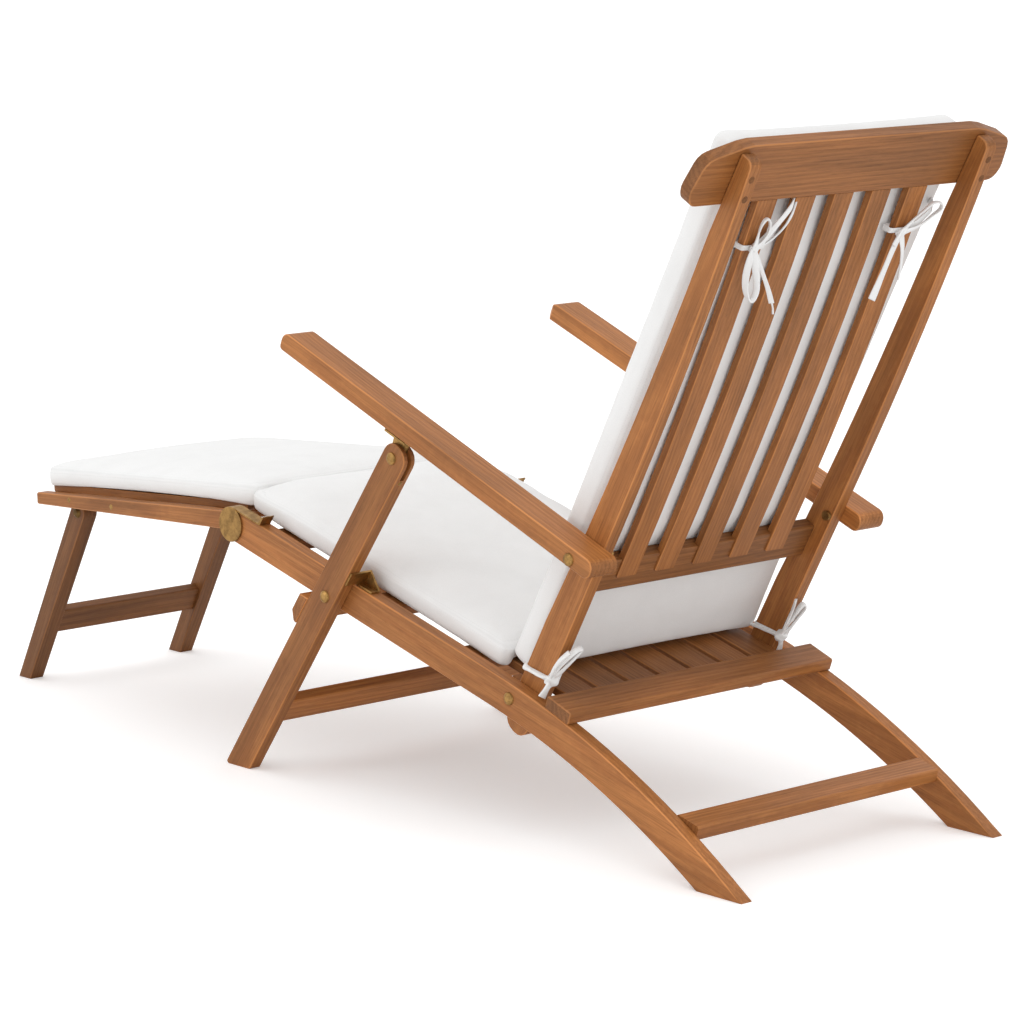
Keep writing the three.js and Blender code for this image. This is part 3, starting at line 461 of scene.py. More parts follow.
class ChairCushionSettings(bpy.types.PropertyGroup):
    """Cloth and filling of the cushion."""
    colour: bpy.props.FloatVectorProperty(
        name="Canvas", description="Colour of the cover", default=(0.82, 0.82, 0.815), size=3, subtype="COLOR")
    thread: bpy.props.FloatProperty(
        name="Thread pitch", description="Distance between threads of the weave", default=0.0011,
        unit="LENGTH")
    voxel: bpy.props.FloatProperty(
        name="Cell", description="Cell of the cloth that is simulated", default=0.006, unit="LENGTH")
    swell: bpy.props.FloatProperty(
        name="Swell", description="Furthest that the filling pushes the cover out", default=0.0055,
        unit="LENGTH")
    smaller: bpy.props.FloatProperty(
        name="Start smaller", description="How far inside its room the cover starts", default=0.003,
        unit="LENGTH")


class ChairTieSettings(bpy.types.PropertyGroup):
    """Tapes that tie the cushion on."""
    width: bpy.props.FloatProperty(
        name="Width", description="Width of the tape", default=0.0105, unit="LENGTH")
    thickness: bpy.props.FloatProperty(
        name="Thickness", description="Thickness of the folded tape", default=0.0028, unit="LENGTH")


# Stage

# The camera: its place, the direction it looks in, its focal length and sensor in millimetres, and its reach
CAMERA_PLACE = (3.5758, 4.1016, 1.3275)
CAMERA_LOOK = (-0.66004, -0.73048, -0.17537)
CAMERA_LENS, CAMERA_SENSOR, CAMERA_REACH = 134.58, 36, 60

# The floor: half its side, and how far it glows for the camera
FLOOR_HALF, FLOOR_GLOW = 40.0, 0.24

# Lamps: name, place, what each points at, diameter, and power as a share of the lamp above
LAMPS = (
    ("lamp over", (0.9, -1.6, 4.2), (0, 0, 0.4), 3.2, 1.0),
    ("lamp left", (4.6, -1.8, 2.2), (0, 0, 0.4), 2.4, 1.9),
    ("lamp behind", (1.2, 5.0, 1.1), (0, 0.4, 0.5), 3.0, 1.7),
)


def aimed(direction):
    """The turn of a camera or lamp that points in a direction."""
    return direction.to_track_quat("-Z", "Y").to_euler()


def add_floor(colour):
    """A plain floor with a little grit, a square on Z = 0. For the camera alone it also glows towards white."""
    corners = np.array([[-1, -1, 0], [1, -1, 0], [1, 1, 0], [-1, 1, 0]]) * FLOOR_HALF
    floor = mesh_piece("floor", corners, [[0, 1, 2, 3]], smooth=False)

    def ground(tree, shader):
        grit = noise(tree, node(tree, "TexCoord").outputs["Object"], 60.0, 3.0)
        feed(tree, shader.inputs["Base Color"], times(tree, colour, ramp(tree, grit, (0.3, 0.985), (0.7, 1.0))))
        seen = node(tree, "LightPath").outputs["Is Camera Ray"]
        glow = node(tree, "Emission", {"Color": (1, 1, 1, 1), "Strength": FLOOR_GLOW})
        both = node(tree, "AddShader", {0: shader.outputs["BSDF"], 1: glow.outputs["Emission"]})
        choose = node(tree, "MixShader", {0: seen, 1: shader.outputs["BSDF"], 2: both.outputs["Shader"]})
        feed(tree, tree.nodes["Material Output"].inputs["Surface"], choose.outputs["Shader"])

    floor.data.materials.append(material("pale floor", ground, Roughness=0.9))


def studio_world(level):
    """Even light from all round, in front of a backdrop that the camera and glossy metal see as white."""
    world = bpy.data.worlds.new("studio")
    world.use_nodes = True
    tree = world.node_tree
    back = tree.nodes["Background"]
    back.inputs["Color"].default_value = (1, 1, 1, 1)
    back.inputs["Strength"].default_value = level
    white = node(tree, "Background", {"Color": (1, 1, 1, 1), "Strength": 1.0})
    path = node(tree, "LightPath")
    seen = math_node(tree, "MAXIMUM", path.outputs["Is Camera Ray"], path.outputs["Is Glossy Ray"])
    choose = node(tree, "MixShader", {0: seen, 1: back.outputs[0], 2: white.outputs[0]})
    feed(tree, tree.nodes["World Output"].inputs["Surface"], choose.outputs["Shader"])
    return world


class ChairStage(bpy.types.Operator):
    """Camera, floor, backdrop light and lamps"""
    bl_idname = "deckchair.stage"
    bl_label = "Stage"

    def execute(self, context):
        wanted = context.scene.deckchair_stage
        camera = bpy.data.cameras.new("camera")
        camera.sensor_width = CAMERA_SENSOR
        camera.lens = CAMERA_LENS
        camera.clip_end = CAMERA_REACH
        holder = bpy.data.objects.new("camera", camera)
        holder.location = CAMERA_PLACE
        holder.rotation_euler = aimed(Vector(CAMERA_LOOK))
        context.scene.collection.objects.link(holder)
        context.scene.camera = holder
        context.scene.view_settings.view_transform = "Standard"
        add_floor(tuple(wanted.floor))
        context.scene.world = studio_world(wanted.sky)
        for name, place, aim, size, share in LAMPS:
            light = bpy.data.lights.new(name, "AREA")
            light.shape = "DISK"
            light.size = size
            light.energy = wanted.lamp * share
            lamp = bpy.data.objects.new(name, light)
            lamp.location = place
            lamp.rotation_euler = aimed(Vector(aim) - Vector(place))
            context.scene.collection.objects.link(lamp)
        return {"FINISHED"}


# Timber and brass

# Boards by the direction of their grain, with how much lighter or darker than the rest they are
ALONG_X = (0.0, 0.0, -math.pi / 2)
BOARDS = {
    "seat_rail": ((SEAT_SLOPE, 0, 0), 0.98),
    "seat_slat": ((SEAT_SLOPE, 0, 0), 0.62),
    "rear_plank": (ALONG_X, 0.80),
    "rear_stretcher": (ALONG_X, 1.0),
    "cross_rail": (ALONG_X, 0.8),
    "leg_stretcher": (ALONG_X, 0.95),
    "stop_bar": (ALONG_X, 1.0),
    "front_leg": ((LEG_ANGLE, 0, 0), 0.86),
    "back_stile": ((BACK_ANGLE, 0, 0), 0.86),
    "back_slat": ((BACK_ANGLE, 0, 0), 0.84),
    "back_lower_rail": (ALONG_X, 0.60),
    "head_rail": (ALONG_X, 0.74),
    "arm": ((ARM_SLOPE, 0, 0), 1.02),
    "foot_rail": ((FOOT_SLOPE, 0, 0), 0.88),
    "foot_batten": (ALONG_X, 0.9),
    "foot_slat": ((FOOT_SLOPE, 0, 0), 0.66),
    "foot_leg_stretcher": (ALONG_X, 0.56),
    # The foot legs' low tone is partly painted shade, for their place in the shade under the footrest
    "foot_leg": ((FOOT_LEG_ANGLE, 0, 0), 0.44),
}
BRASS_WORDS = ("bolt", "bracket", "tongue", "hinge_plate")

# How light the brass is: the fittings in the shade under the footrest are painted darker, a painted shade
SHADE_PAINTED_BRASS, HINGE_BRASS, OTHER_BRASS = 0.42, 1.0, 1.12


def board_kind(name):
    """The longest board name that the node's name holds."""
    return max((kind for kind in BOARDS if kind in name), key=len)


def is_brass(name):
    """Whether a node is one of the fittings."""
    return any(word in name for word in BRASS_WORDS)


class ChairTimber(bpy.types.Operator):
    """Teak on every board, with its own cut from the log"""
    bl_idname = "deckchair.timber"
    bl_label = "Timber"

    def execute(self, context):
        wanted = context.scene.deckchair_timber
        boards = [name for name in sorted(NODES) if not is_brass(name) and "cushion" not in name]
        for seed, name in enumerate(boards):
            turn, tone = BOARDS[board_kind(name)]
            low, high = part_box(name)
            grain = (1, 0, 0) if turn == ALONG_X else (0, math.cos(turn[0]), math.sin(turn[0]))
            across = (1, 0, 0)
            if name == "head_rail":
                across = (0, math.sin(BACK_ANGLE), -math.cos(BACK_ANGLE))
            light = tuple(c * tone for c in wanted.light)
            dark = tuple(c * tone for c in wanted.dark)
            centre = tuple((low + high) / 2)
            dress(name, teak("teak " + name, centre, turn, light, dark, seed, wanted.gloss, grain, across))
        return {"FINISHED"}


class ChairBrass(bpy.types.Operator):
    """Aged brass on hinges, brackets, tongues and bolts"""
    bl_idname = "deckchair.brass"
    bl_label = "Brass fittings"

    def execute(self, context):
        wanted = context.scene.deckchair_brass
        for seed, name in enumerate(filter(is_brass, sorted(NODES))):
            # Fittings on the foot legs, under the footrest, are darkened as painted shade
            share = SHADE_PAINTED_BRASS if "foot_leg" in name else HINGE_BRASS if "hinge" in name else OTHER_BRASS
            bright = tuple(min(1, c * share) for c in wanted.bright)
            tarnish = tuple(c * min(1, share) for c in wanted.tarnish)
            dress(name, brass("brass " + name, bright, tarnish, seed))
        return {"FINISHED"}


# Cushion

class Section(NamedTuple):
    """One section of the cushion in its own axes: Y along its boards from their pivot, Z up from them."""
    start: float
    end: float
    width: float
    thickness: float
    crown: float
    # How far each end leans out at its lower and its upper edge, where the next section is sewn on
    ends: tuple
    # The lower half sinks past the slats, and the upper side rolls off: from and to what X, and how far
    under: tuple = None
    over: tuple = None
    # How far the upper side drops to the front end, and how far the section spreads to each side
    nose: float = 0.0
    spread: float = 0.0

    @property
    def length(self):
        """From the section's one end to its other."""
        return self.end - self.start


BACK = Section(0.025, 0.846, 0.432, 0.043, 0.008, ((0.0, 0.0), (0.0, 0.0)))
SEAT = Section(0.006, 0.556, 0.432, 0.037, 0.012, ((0.0095, 0.021), (0.007, 0.011)),
               (0.2025, 0.209, 0.0118), (0.13, 0.220, 0.012), 0.008, 0.0055)
FOOT = Section(-0.518, -0.004, 0.412, 0.030, 0.012, ((0.003, 0.003), (0.0075, 0.019)),
               (0.1975, 0.204, 0.0085), (0.15, 0.206, 0.001))

# How far the boards' upper sides are from their pivots, how far the sections lie clear of them, and how much the
# back and footrest sections are tipped against their boards
BACK_RISE, SEAT_RISE, FOOT_RISE = 0.0129, 0.027, 0.0233
CLEAR = 0.0003
BACK_TIP, FOOT_TIP = math.atan2(0.020, 0.772), math.atan2(5, 516)

# A section's edges: their radius in section, the radius of its corners in plan, and how far its sides draw in
PAD_EDGE, PAD_CORNER, PAD_DRAWN = 0.010, 0.015, 0.003

# Cells of a section's grid: along its straight sides, round a corner, from middle to rim, and round the rim
SIDE_CELLS, CORNER_CELLS, FACE_RINGS, RIM_RINGS = (40, 70), 5, 16, 13

# The cloth that the filling pushes out, its frames, and the share of the push that the underside keeps
CLOTH = {"use_pressure": True, "uniform_pressure_force": 4, "quality": 5, "mass": 0.35, "tension_stiffness": 22,
         "compression_stiffness": 22, "shear_stiffness": 8, "bending_stiffness": 0.8}
SWELL_FRAMES, CACHE_END = 20, 24
KEPT_BELOW = 0.15

# How far from an end its lean begins, and from the front end the drop of its nose; from and to what X it spreads
LEAN_REACH, NOSE_REACH = 0.07, 0.09
SPREAD_SIDE = (0.1, 0.2)

# Room behind the back section: half the width between the stiles, the rails that end it, how far the cover takes
# to fill it across and along, and its depth, which lessens between two heights
BACK_ROOM, BACK_ROOM_LOW, BACK_ROOM_HIGH, BACK_ROOM_ACROSS, BACK_ROOM_ALONG = 0.204, 0.17, 0.765, 0.05, 0.10
BACK_ROOM_DEPTH, BACK_ROOM_LESS, BACK_ROOM_FROM, BACK_ROOM_OVER = 0.0195, 0.0098, 0.45, 0.25

# Seams: how far in from the sides, how far inside the faces, reach and depth of the pull. Ripples along them: their
# reach, height and turn in a metre, and the rate and size of the drift in that
SEAM_IN, SEAM_LEVEL, SEAM_REACH, SEAM_PULL = 0.0045, 0.004, 0.0045, 0.0005
RIPPLE_REACH, RIPPLE_HEIGHT, RIPPLE_TURN, DRIFT_TURN, DRIFT = 0.020, 0.0002, 118, 23, 1.3


def panel_ring(count_straight, count_corner):
    """Signs and angle of each point round a rounded rectangle: a corner's centre, and the turn about it."""
    signs = [(1, 1), (-1, 1), (-1, -1), (1, -1)]
    parts = []
    for quarter, (here, there) in enumerate(zip(signs, signs[1:] + signs[:1])):
        angle = (quarter + np.linspace(0, 1, count_corner + 1)) * math.pi / 2
        parts.append(np.stack([np.full_like(angle, here[0]), np.full_like(angle, here[1]), angle], -1))
        cells = count_straight[quarter % 2]
        share = np.arange(1, cells)[:, None] / cells
        between = (1 - share) * np.array(here) + share * np.array(there)
        parts.append(np.concatenate([between, np.full((cells - 1, 1), angle[-1])], -1))
    return np.concatenate(parts)


def pad_surface(section, less):
    """A boxed pad, smaller by less: a flat underside, a rim that is a rounded box in section, and an upper side
    that rises to a crown by 1 - x^2 across and 1 - y^4 along. Every ring of the grid is the same rounded rectangle
    at another size. Both ways the pad draws in, by 1 - y^2 and 1 - x^2, most halfway between its corners."""
    half_x, half_y = section.width / 2 - less, section.length / 2 - less
    half = section.thickness / 2 - less / 3
    ring = panel_ring(SIDE_CELLS, CORNER_CELLS)
    sign, angle = ring[:, :2], ring[:, 2]
    turn = np.stack([np.cos(angle), np.sin(angle)], -1)
    face = np.array([half_x - PAD_EDGE, half_y - PAD_EDGE])
    inner = PAD_CORNER - PAD_EDGE
    shares = np.linspace(0.06, 1, FACE_RINGS)

    def layer(flat, height):
        """A ring's points in plan, at a height."""
        return np.column_stack([flat, np.broadcast_to(height, len(flat))])

    rings = []
    for share in shares:
        rings.append(layer(sign * (face - inner) * share + turn * inner * share, -half))
    for lift in np.linspace(-math.pi / 2, math.pi / 2, RIM_RINGS)[1:-1]:
        reach = PAD_EDGE * boxed(math.cos(lift), 0.5)
        rings.append(layer(sign * (face - inner) + turn * (inner + reach), half * boxed(math.sin(lift), 0.5)))
    for share in shares[::-1]:
        flat = sign * (face - inner) * share + turn * inner * share
        rise = section.crown * (1 - (flat[:, 0] / face[0]) ** 2) * (1 - (flat[:, 1] / face[1]) ** 4)
        rings.append(layer(flat, half + np.maximum(rise, 0)))
    rings = np.array(rings)
    draw_x = rings[..., 0] / half_x * PAD_DRAWN * (1 - (rings[..., 1] / half_y) ** 2)
    draw_y = rings[..., 1] / half_y * PAD_DRAWN * (1 - (rings[..., 0] / half_x) ** 2)
    rings[..., 0] -= draw_x
    rings[..., 1] -= draw_y
    return rings


def remeshed(piece, cell):
    """Replaces the piece's mesh by an even one of that cell."""
    modifier = piece.modifiers.new("even", "REMESH")
    modifier.mode = "VOXEL"
    modifier.voxel_size = cell
    modifier.use_smooth_shade = True
    mesh = evaluated_mesh(piece)
    piece.modifiers.clear()
    piece.data = mesh


def swollen(piece, furthest):
    """Where the points were, and how far the filling's pressure moves each, never further than furthest."""
    before = read_points(piece.data)
    cloth = piece.modifiers.new("swell", "CLOTH")
    for title, value in CLOTH.items():
        setattr(cloth.settings, title, value)
    cloth.settings.effector_weights.gravity = 0
    cloth.point_cache.frame_start = 1
    cloth.point_cache.frame_end = CACHE_END
    for step in range(1, SWELL_FRAMES + 1):
        bpy.context.scene.frame_set(step)
    mesh = evaluated_mesh(piece)
    moved = read_points(mesh) - before
    piece.modifiers.clear()
    bpy.context.scene.frame_set(1)
    moved -= np.median(moved, axis=0)
    size = np.linalg.norm(moved, axis=1, keepdims=True)
    return before, moved * np.minimum(1, furthest / np.maximum(size, 1e-9))


def leaned(points, section):
    """Pushes both ends out, where the next section is sewn on: by a low and a high amount, mixed by height, that
    fades eased to nothing over a reach."""
    height = np.clip(points[:, 2] / section.thickness + 0.5, 0, 1)
    for sign, (low, high) in zip((-1, 1), section.ends):
        share = eased(sign * points[:, 1], section.length / 2 - LEAN_REACH, section.length / 2)
        points[:, 1] += sign * share * (low + (high - low) * height)
    return points


def settled(points, section):
    """Lets a section hang over the ends of its slats. Each amount grows eased past the side it begins at: the lower
    half is drawn down past the slats, and the upper side rolls off to both sides, and to its front end. Behind its
    front end the section spreads to both sides."""
    height = np.clip(points[:, 2] / section.thickness + 0.5, 0, 1)
    front = eased(-points[:, 1], section.length / 2 - NOSE_REACH, section.length / 2)
    outward = np.sign(points[:, 0]) * eased(np.abs(points[:, 0]), *SPREAD_SIDE)
    points[:, 0] += section.spread * outward * (1 - front)
    side = np.abs(points[:, 0])
    *under, sunk = section.under
    *over, rolled = section.over
    points[:, 2] -= (sunk * eased(side, *under) * (1 - height)
                     + (rolled * eased(side, *over) + section.nose * front) * height)
    return points


def bulged(points, section):
    """Lets the underside of the back section sink between the stiles towards the bowed slats: by an amount that
    fades towards the stiles, the rails above and below, and the upper side."""
    up = points[:, 1] + section.length / 2 + section.start
    inside = np.clip((BACK_ROOM - np.abs(points[:, 0])) / BACK_ROOM_ACROSS, 0, 1)
    low = np.clip((up - BACK_ROOM_LOW) / BACK_ROOM_ALONG, 0, 1)
    high = np.clip((BACK_ROOM_HIGH - up) / BACK_ROOM_ALONG, 0, 1)
    under = np.clip(0.5 - points[:, 2] / section.thickness, 0, 1)
    depth = BACK_ROOM_DEPTH - BACK_ROOM_LESS * np.clip((up - BACK_ROOM_FROM) / BACK_ROOM_OVER, 0, 1)
    points[:, 2] -= depth * eased(inside * low * high * under, 0, 1)
    return points


def seamed(points, mesh, section):
    """Two seams run round the pad at the upper and lower edge of its boxing. Near each the cover is pulled in by a
    narrow bell, and ripples of the sewn edge fade away from the upper one. The distance to the nearer seam and the
    run round the edge are kept as attributes for the stitches."""
    x, y, z = points.T
    out_x, out_y = section.width / 2 - np.abs(x), section.length / 2 - np.abs(y)
    inward = np.maximum(np.minimum(out_x, out_y) - SEAM_IN, 0)
    run = np.where(out_x < out_y, y, x)
    level = section.thickness / 2 - SEAM_LEVEL
    top_gap = np.hypot(inward, z - level)
    gap = np.minimum(top_gap, np.hypot(inward, z + level))
    wave = np.sin(run * RIPPLE_TURN + DRIFT * np.sin(run * DRIFT_TURN))
    ripple = wave * np.exp(-(top_gap / RIPPLE_REACH) ** 2) * RIPPLE_HEIGHT
    pulled = SEAM_PULL * np.exp(-(gap / SEAM_REACH) ** 2)
    towards = unit(np.stack([-np.sign(x) * (out_x < out_y), -np.sign(y) * (out_x >= out_y), -np.sign(z)], -1))
    result = points + towards * pulled[:, None]
    result[:, 2] += np.where(z > 0, ripple, 0)
    for title, values in (("seam_gap", gap), ("seam_run", run + 1.0)):
        mesh.attributes.new(title, "FLOAT", "POINT").data.foreach_set("value", values.astype(np.float32))
    return result


def pad(name, node_name, section, origin, angle, shaped, settings, cover):
    """One section of the cushion, made flat in its own axes, swollen, seamed, settled on its boards by shaped, and
    then laid in its place."""
    piece = mesh_piece(name, *capped_tube(pad_surface(section, settings.smaller)))
    remeshed(piece, settings.voxel)
    before, moved = swollen(piece, settings.swell)
    # The underside rests on slats, so most of what the filling pushes down there is taken away
    moved[:, 2] = np.where(moved[:, 2] < 0, moved[:, 2] * KEPT_BELOW, moved[:, 2])
    points = before + moved
    # The cover draws in as it fills, so it is let out again to the room that the cushion has
    room = np.array([section.width / 2, section.length / 2])
    points[:, :2] *= room / np.abs(points[:, :2]).max(axis=0)
    points[:, 2] = np.clip(points[:, 2], -section.thickness / 2, None)
    piece.data.vertices.foreach_set("co", leaned(points, section).ravel())
    finer = piece.modifiers.new("finer", "SUBSURF")
    finer.levels = finer.render_levels = 1
    mesh = evaluated_mesh(piece)
    piece.modifiers.clear()
    piece.data = mesh
    points = shaped(seamed(read_points(mesh), mesh, section), section)
    centre = np.array([0, (section.start + section.end) / 2, section.thickness / 2 + CLEAR])
    mesh.vertices.foreach_set("co", placed(points + centre, origin, angle).ravel())
    mesh.polygons.foreach_set("use_smooth", np.ones(len(mesh.polygons), bool))
    mesh.update()
    mesh.materials.clear()
    mesh.materials.append(cover)
    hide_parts(node_name)
    return piece


class ChairCushions(bpy.types.Operator):
    """Back, seat and footrest sections of the cushion"""
    bl_idname = "deckchair.cushions"
    bl_label = "Cushion sections"

    def execute(self, context):
        wanted = context.scene.deckchair_cushions
        cover = canvas("canvas cover", tuple(wanted.colour), wanted.thread, True)
        back_up = turned(BACK_ANGLE)[1]
        back_angle = BACK_ANGLE + BACK_TIP
        back_origin = BACK_PIVOT + BACK_RISE * back_up
        back = pad("back_pad", "cushion_back", BACK, back_origin, back_angle, bulged, wanted, cover)
        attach(back, "backrest")
        seat_up = turned(SEAT_SLOPE)[1]
        seat_origin = FOOT_HINGE + SEAT_RISE * seat_up
        seat = pad("seat_pad", "cushion_seat", SEAT, seat_origin, SEAT_SLOPE, settled, wanted, cover)
        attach(seat, "seat")
        foot_up = turned(FOOT_SLOPE)[1]
        foot_angle = FOOT_SLOPE + FOOT_TIP
        foot_origin = FOOT_HINGE + FOOT_RISE * foot_up
        foot = pad("footrest_pad", "cushion_footrest", FOOT, foot_origin, foot_angle, settled, wanted, cover)
        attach(foot, "footrest")
        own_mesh(back)
        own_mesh(seat)
        return {"FINISHED"}


# Ties, in the backrest's own axes and in millimetres: x, rearward, up the back. The loop round the board is its
# half widths, middle, tilt and slack. The knot is its middle and radii. Each tape is its points, its twist and its
# share of the width. A stout tie is wider by its number, and thicker by the number's square.
TIES = {
    "upper_tie_left": {
        "loop": (18.6, 7.2, (140, -13.8, 705), 0.2, 1.2),
        "knot": ((144, -2, 708), (7.0, 5.0, 6.5)),
        "tapes": [
            ([(146, 0, 711), (149.5, 1, 727), (152, 1, 745), (149, 2, 755), (139, 1, 749), (132, 0, 732),
              (136, 0, 717), (144, 0, 709)], math.pi, 0.8),
            ([(74, -33, 764), (84, -21, 766), (102, -7, 762), (115, -4, 745), (126, -4, 726), (142, -1, 710)],
             0.7, 0.9),
            ([(69, -33, 765), (80, -20, 764), (96, -5, 756), (104, -2, 737), (118, -2, 719), (141, -1, 708)],
             -0.9, 0.8),
            ([(147, 0, 708), (153, 6, 696), (158, 14, 680), (159, 22, 665), (153, 28, 652), (144, 28, 650),
              (138, 23, 661), (140, 15, 678), (144, 7, 695), (146, 1, 706)], math.pi, 1.0),
            ([(146, 1, 707), (139, 8, 695), (128, 16, 678), (117, 24, 660), (109, 31, 644)], 0.9, 0.7),
            ([(109.5, 31, 645), (105, 33, 637), (104, 36, 630)], 0.0, 0.22),
        ],
    },
    "upper_tie_right": {
        "loop": (24.0, 7.4, (-136.5, -13.8, 709), 0.2, 1.0),
        "knot": ((-127, -2, 709), (7.0, 5.0, 6.0)),
        "tapes": [
            ([(-200, -33, 734), (-190, -22, 738), (-176, -8, 738), (-160, -4, 727), (-145, -3, 717),
              (-128, -1, 710)], 0.6, 0.9),
            ([(-126, 0, 711), (-136, 1, 727), (-149, 1, 742), (-161, 2, 755), (-176, 2, 754), (-183, 1, 744),
              (-171, 1, 733), (-154, 1, 719), (-129, 0, 710)], math.pi, 0.9),
            ([(-125, 0, 707), (-113, 8, 692), (-103, 16, 672), (-93, 24, 650), (-84, 31, 630)], 0.35, 1.15),
            ([(-128, 0, 707), (-132, 8, 690), (-134, 15, 670), (-132.5, 22, 651)], -0.6, 0.9),
            ([(-124, 1, 711), (-116, 5, 705), (-110, 9, 698)], 0.4, 0.6),
        ],
    },
    "lower_tie_left": {
        "stout": 1.35,
        "loop": (11.0, 23.4, (218, 9.9, 48), 0.32, 0.4),
        "knot": ((227, 37, 58), (7.5, 6.0, 7.5)),
        "tapes": [
            ([(207, -24, 34), (216, -19, 37), (226, -15, 40), (230.2, -8, 43), (230.6, 8, 48), (230.6, 26, 54),
              (228, 36, 58)], 0.0, 0.8),
            ([(229, 38, 61), (230, 41, 78), (225, 43, 96), (215, 45, 112), (207, 45, 112), (213, 44, 97),
              (221, 42, 78), (227, 38, 60)], math.pi, 0.95),
            ([(229, 38, 57), (236, 41, 46), (241, 43, 35)], 0.4, 0.8),
            ([(230, 38, 61), (238, 42, 80), (238, 45, 98), (229, 47, 112)], 0.9, 0.75),
        ],
    },
    "lower_tie_right": {
        "stout": 1.2,
        "loop": (11.0, 23.4, (-218, 9.9, 46), 0.32, 0.4),
        "knot": ((-208, 37, 55), (7.5, 6.0, 7.5)),
        "tapes": [
            ([(-196, -26, 30), (-203, -22, 33), (-206, -14, 36), (-205.6, -2, 41), (-205.4, 18, 48),
              (-207, 36, 55)], 0.0, 0.8),
            ([(-207, 38, 57), (-206, 42, 80), (-208, 44, 102), (-213, 45, 116), (-220, 45, 108), (-217, 43, 88),
              (-213, 41, 68), (-209, 38, 56)], math.pi, 0.95),
            ([(-207, 38, 53), (-210, 41, 43), (-212, 42, 31)], 0.4, 0.7),
            ([(-207, 39, 57), (-200, 43, 86), (-195, 46, 111), (-190, 48, 128)], 0.7, 0.75),
        ],
    },
}

# The loop's tape against the others, in width and thickness, and points along it
LOOP_WIDTH, LOOP_THICKNESS, LOOP_POINTS = 0.72, 0.8, 96

# The other tapes: points along each, and how much it narrows in its middle. All of them: the pitch of their threads,
# points round their section, and how deep they cup for their width
TAPE_POINTS, TAPE_FOLD = 60, 0.25
TAPE_THREAD, TAPE_ROUND, TAPE_CUP = 0.0006, 14, 0.35


def tape(path, width, thickness, count, across=None, twist=0.0, fold=0.0):
    """A flat tape: a lens-shaped section of the tape's width and thickness, cupped by the square of the distance
    from its middle, carried along a smooth path. Its width lies along the across direction, or square to the path
    and to the rearward direction where none is given. It is turned by twist along the way, and narrows in the
    middle by fold."""
    line = smooth_path(path, count)
    along = unit(np.gradient(line, axis=0))
    if across is None:
        side = unit(np.cross(np.array([0.0, 1.0, 0.0]), along))
    else:
        hint = np.broadcast_to(np.asarray(across, float), line.shape)
        side = unit(hint - (hint * along).sum(-1, keepdims=True) * along)
    normal = np.cross(along, side)
    share = np.linspace(0, 1, count)[:, None]
    turn = twist * share
    side, normal = side * np.cos(turn) + normal * np.sin(turn), normal * np.cos(turn) - side * np.sin(turn)
    angle = np.linspace(0, math.tau, TAPE_ROUND, endpoint=False)
    width_here = width * (1 - fold * np.sin(share * math.pi) ** 2)
    wide = boxed(np.cos(angle), 0.7)[None, :] * width_here / 2
    thick = boxed(np.sin(angle), 0.8)[None, :] * thickness / 2
    cup = (wide / width) ** 2 * width * TAPE_CUP
    high = thick + cup - cup.mean(1, keepdims=True)
    return capped_tube(line[:, None] + wide[..., None] * side[:, None] + high[..., None] * normal[:, None])


def loop_round(half_x, half_w, middle, tilt, spare):
    """Points of a tape drawn round a board: a rounded rectangle of its two half widths, tilted up the back."""
    angle = np.linspace(math.pi / 2, 2.5 * math.pi, 41)
    flat = boxed(np.stack([np.cos(angle), np.sin(angle)], -1), 0.22)
    x = middle[0] + flat[:, 0] * (half_x + spare)
    w = middle[1] + flat[:, 1] * half_w
    return np.stack([x, w, middle[2] + tilt * flat[:, 1] * half_w], -1)


def knot_surface(centre, radii, seed):
    """A tied knot: an ellipsoid whose radius swells by two crossing folds, sin(3a + 2b) and sin(5b - 2a), with a
    round it and b from end to end."""
    draw = np.random.default_rng(seed).uniform(0, math.tau, 2)
    a = np.linspace(0, math.tau, 28, endpoint=False)[None, :]
    b = np.linspace(0.04, math.pi - 0.04, 20)[:, None]
    radius = 1 + 0.13 * np.sin(3 * a + 2 * b + draw[0]) + 0.08 * np.sin(5 * b - 2 * a + draw[1])
    ball = np.stack([np.cos(a) * np.sin(b) * radius, np.sin(a) * np.sin(b) * radius,
                     np.cos(b) * radius * np.ones_like(a)], -1)
    return capped_tube(np.asarray(centre) + ball * np.asarray(radii))


class ChairTies(bpy.types.Operator):
    """Tapes with their knots and bows, round two back slats and the feet of both stiles"""
    bl_idname = "deckchair.ties"
    bl_label = "Ties"

    def execute(self, context):
        wanted = context.scene.deckchair_ties
        cloth = canvas("canvas tape", tuple(context.scene.deckchair_cushions.colour), TAPE_THREAD, False)
        for name, tie in TIES.items():
            stout = tie.get("stout", 1.0)
            half_x, half_w, middle, tilt, spare = tie["loop"]
            ring = loop_round(metres(half_x), metres(half_w), metres(middle), tilt, metres(spare))
            loop = tape(ring, wanted.width * LOOP_WIDTH, wanted.thickness * LOOP_THICKNESS, LOOP_POINTS,
                        across=(0, 0, 1))
            centre, radii = tie["knot"]
            parts = [loop, knot_surface(metres(centre), metres(np.array(radii) * stout), len(name))]
            for points, twist, share in tie["tapes"]:
                parts.append(tape(metres(points), wanted.width * share * stout, wanted.thickness * stout ** 2,
                                  TAPE_POINTS, twist=twist, fold=TAPE_FOLD))
            verts, faces = merged(parts)
            piece = mesh_piece(name, on_back(verts), faces)
            piece.data.materials.append(cloth)
            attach(piece, "backrest")
        return {"FINISHED"}


# Plugs and screws

# Plugs of the left stile: across, rearward, and the two heights up the back
PLUG_X, PLUG_REARWARD, PLUG_HEIGHTS = 0.2195, 0.034, (0.8255, 0.7980)

# Screws of the left footrest rail, as X and two pairs (Y, Z), and of the left front leg, as (X, Y, Z)
FOOT_SCREW_X, FOOT_SCREWS = 0.240, ((-0.6093, 0.3236), (-0.5015, 0.3269))
LEG_SCREW = (0.262, 0.2067, 0.4569)

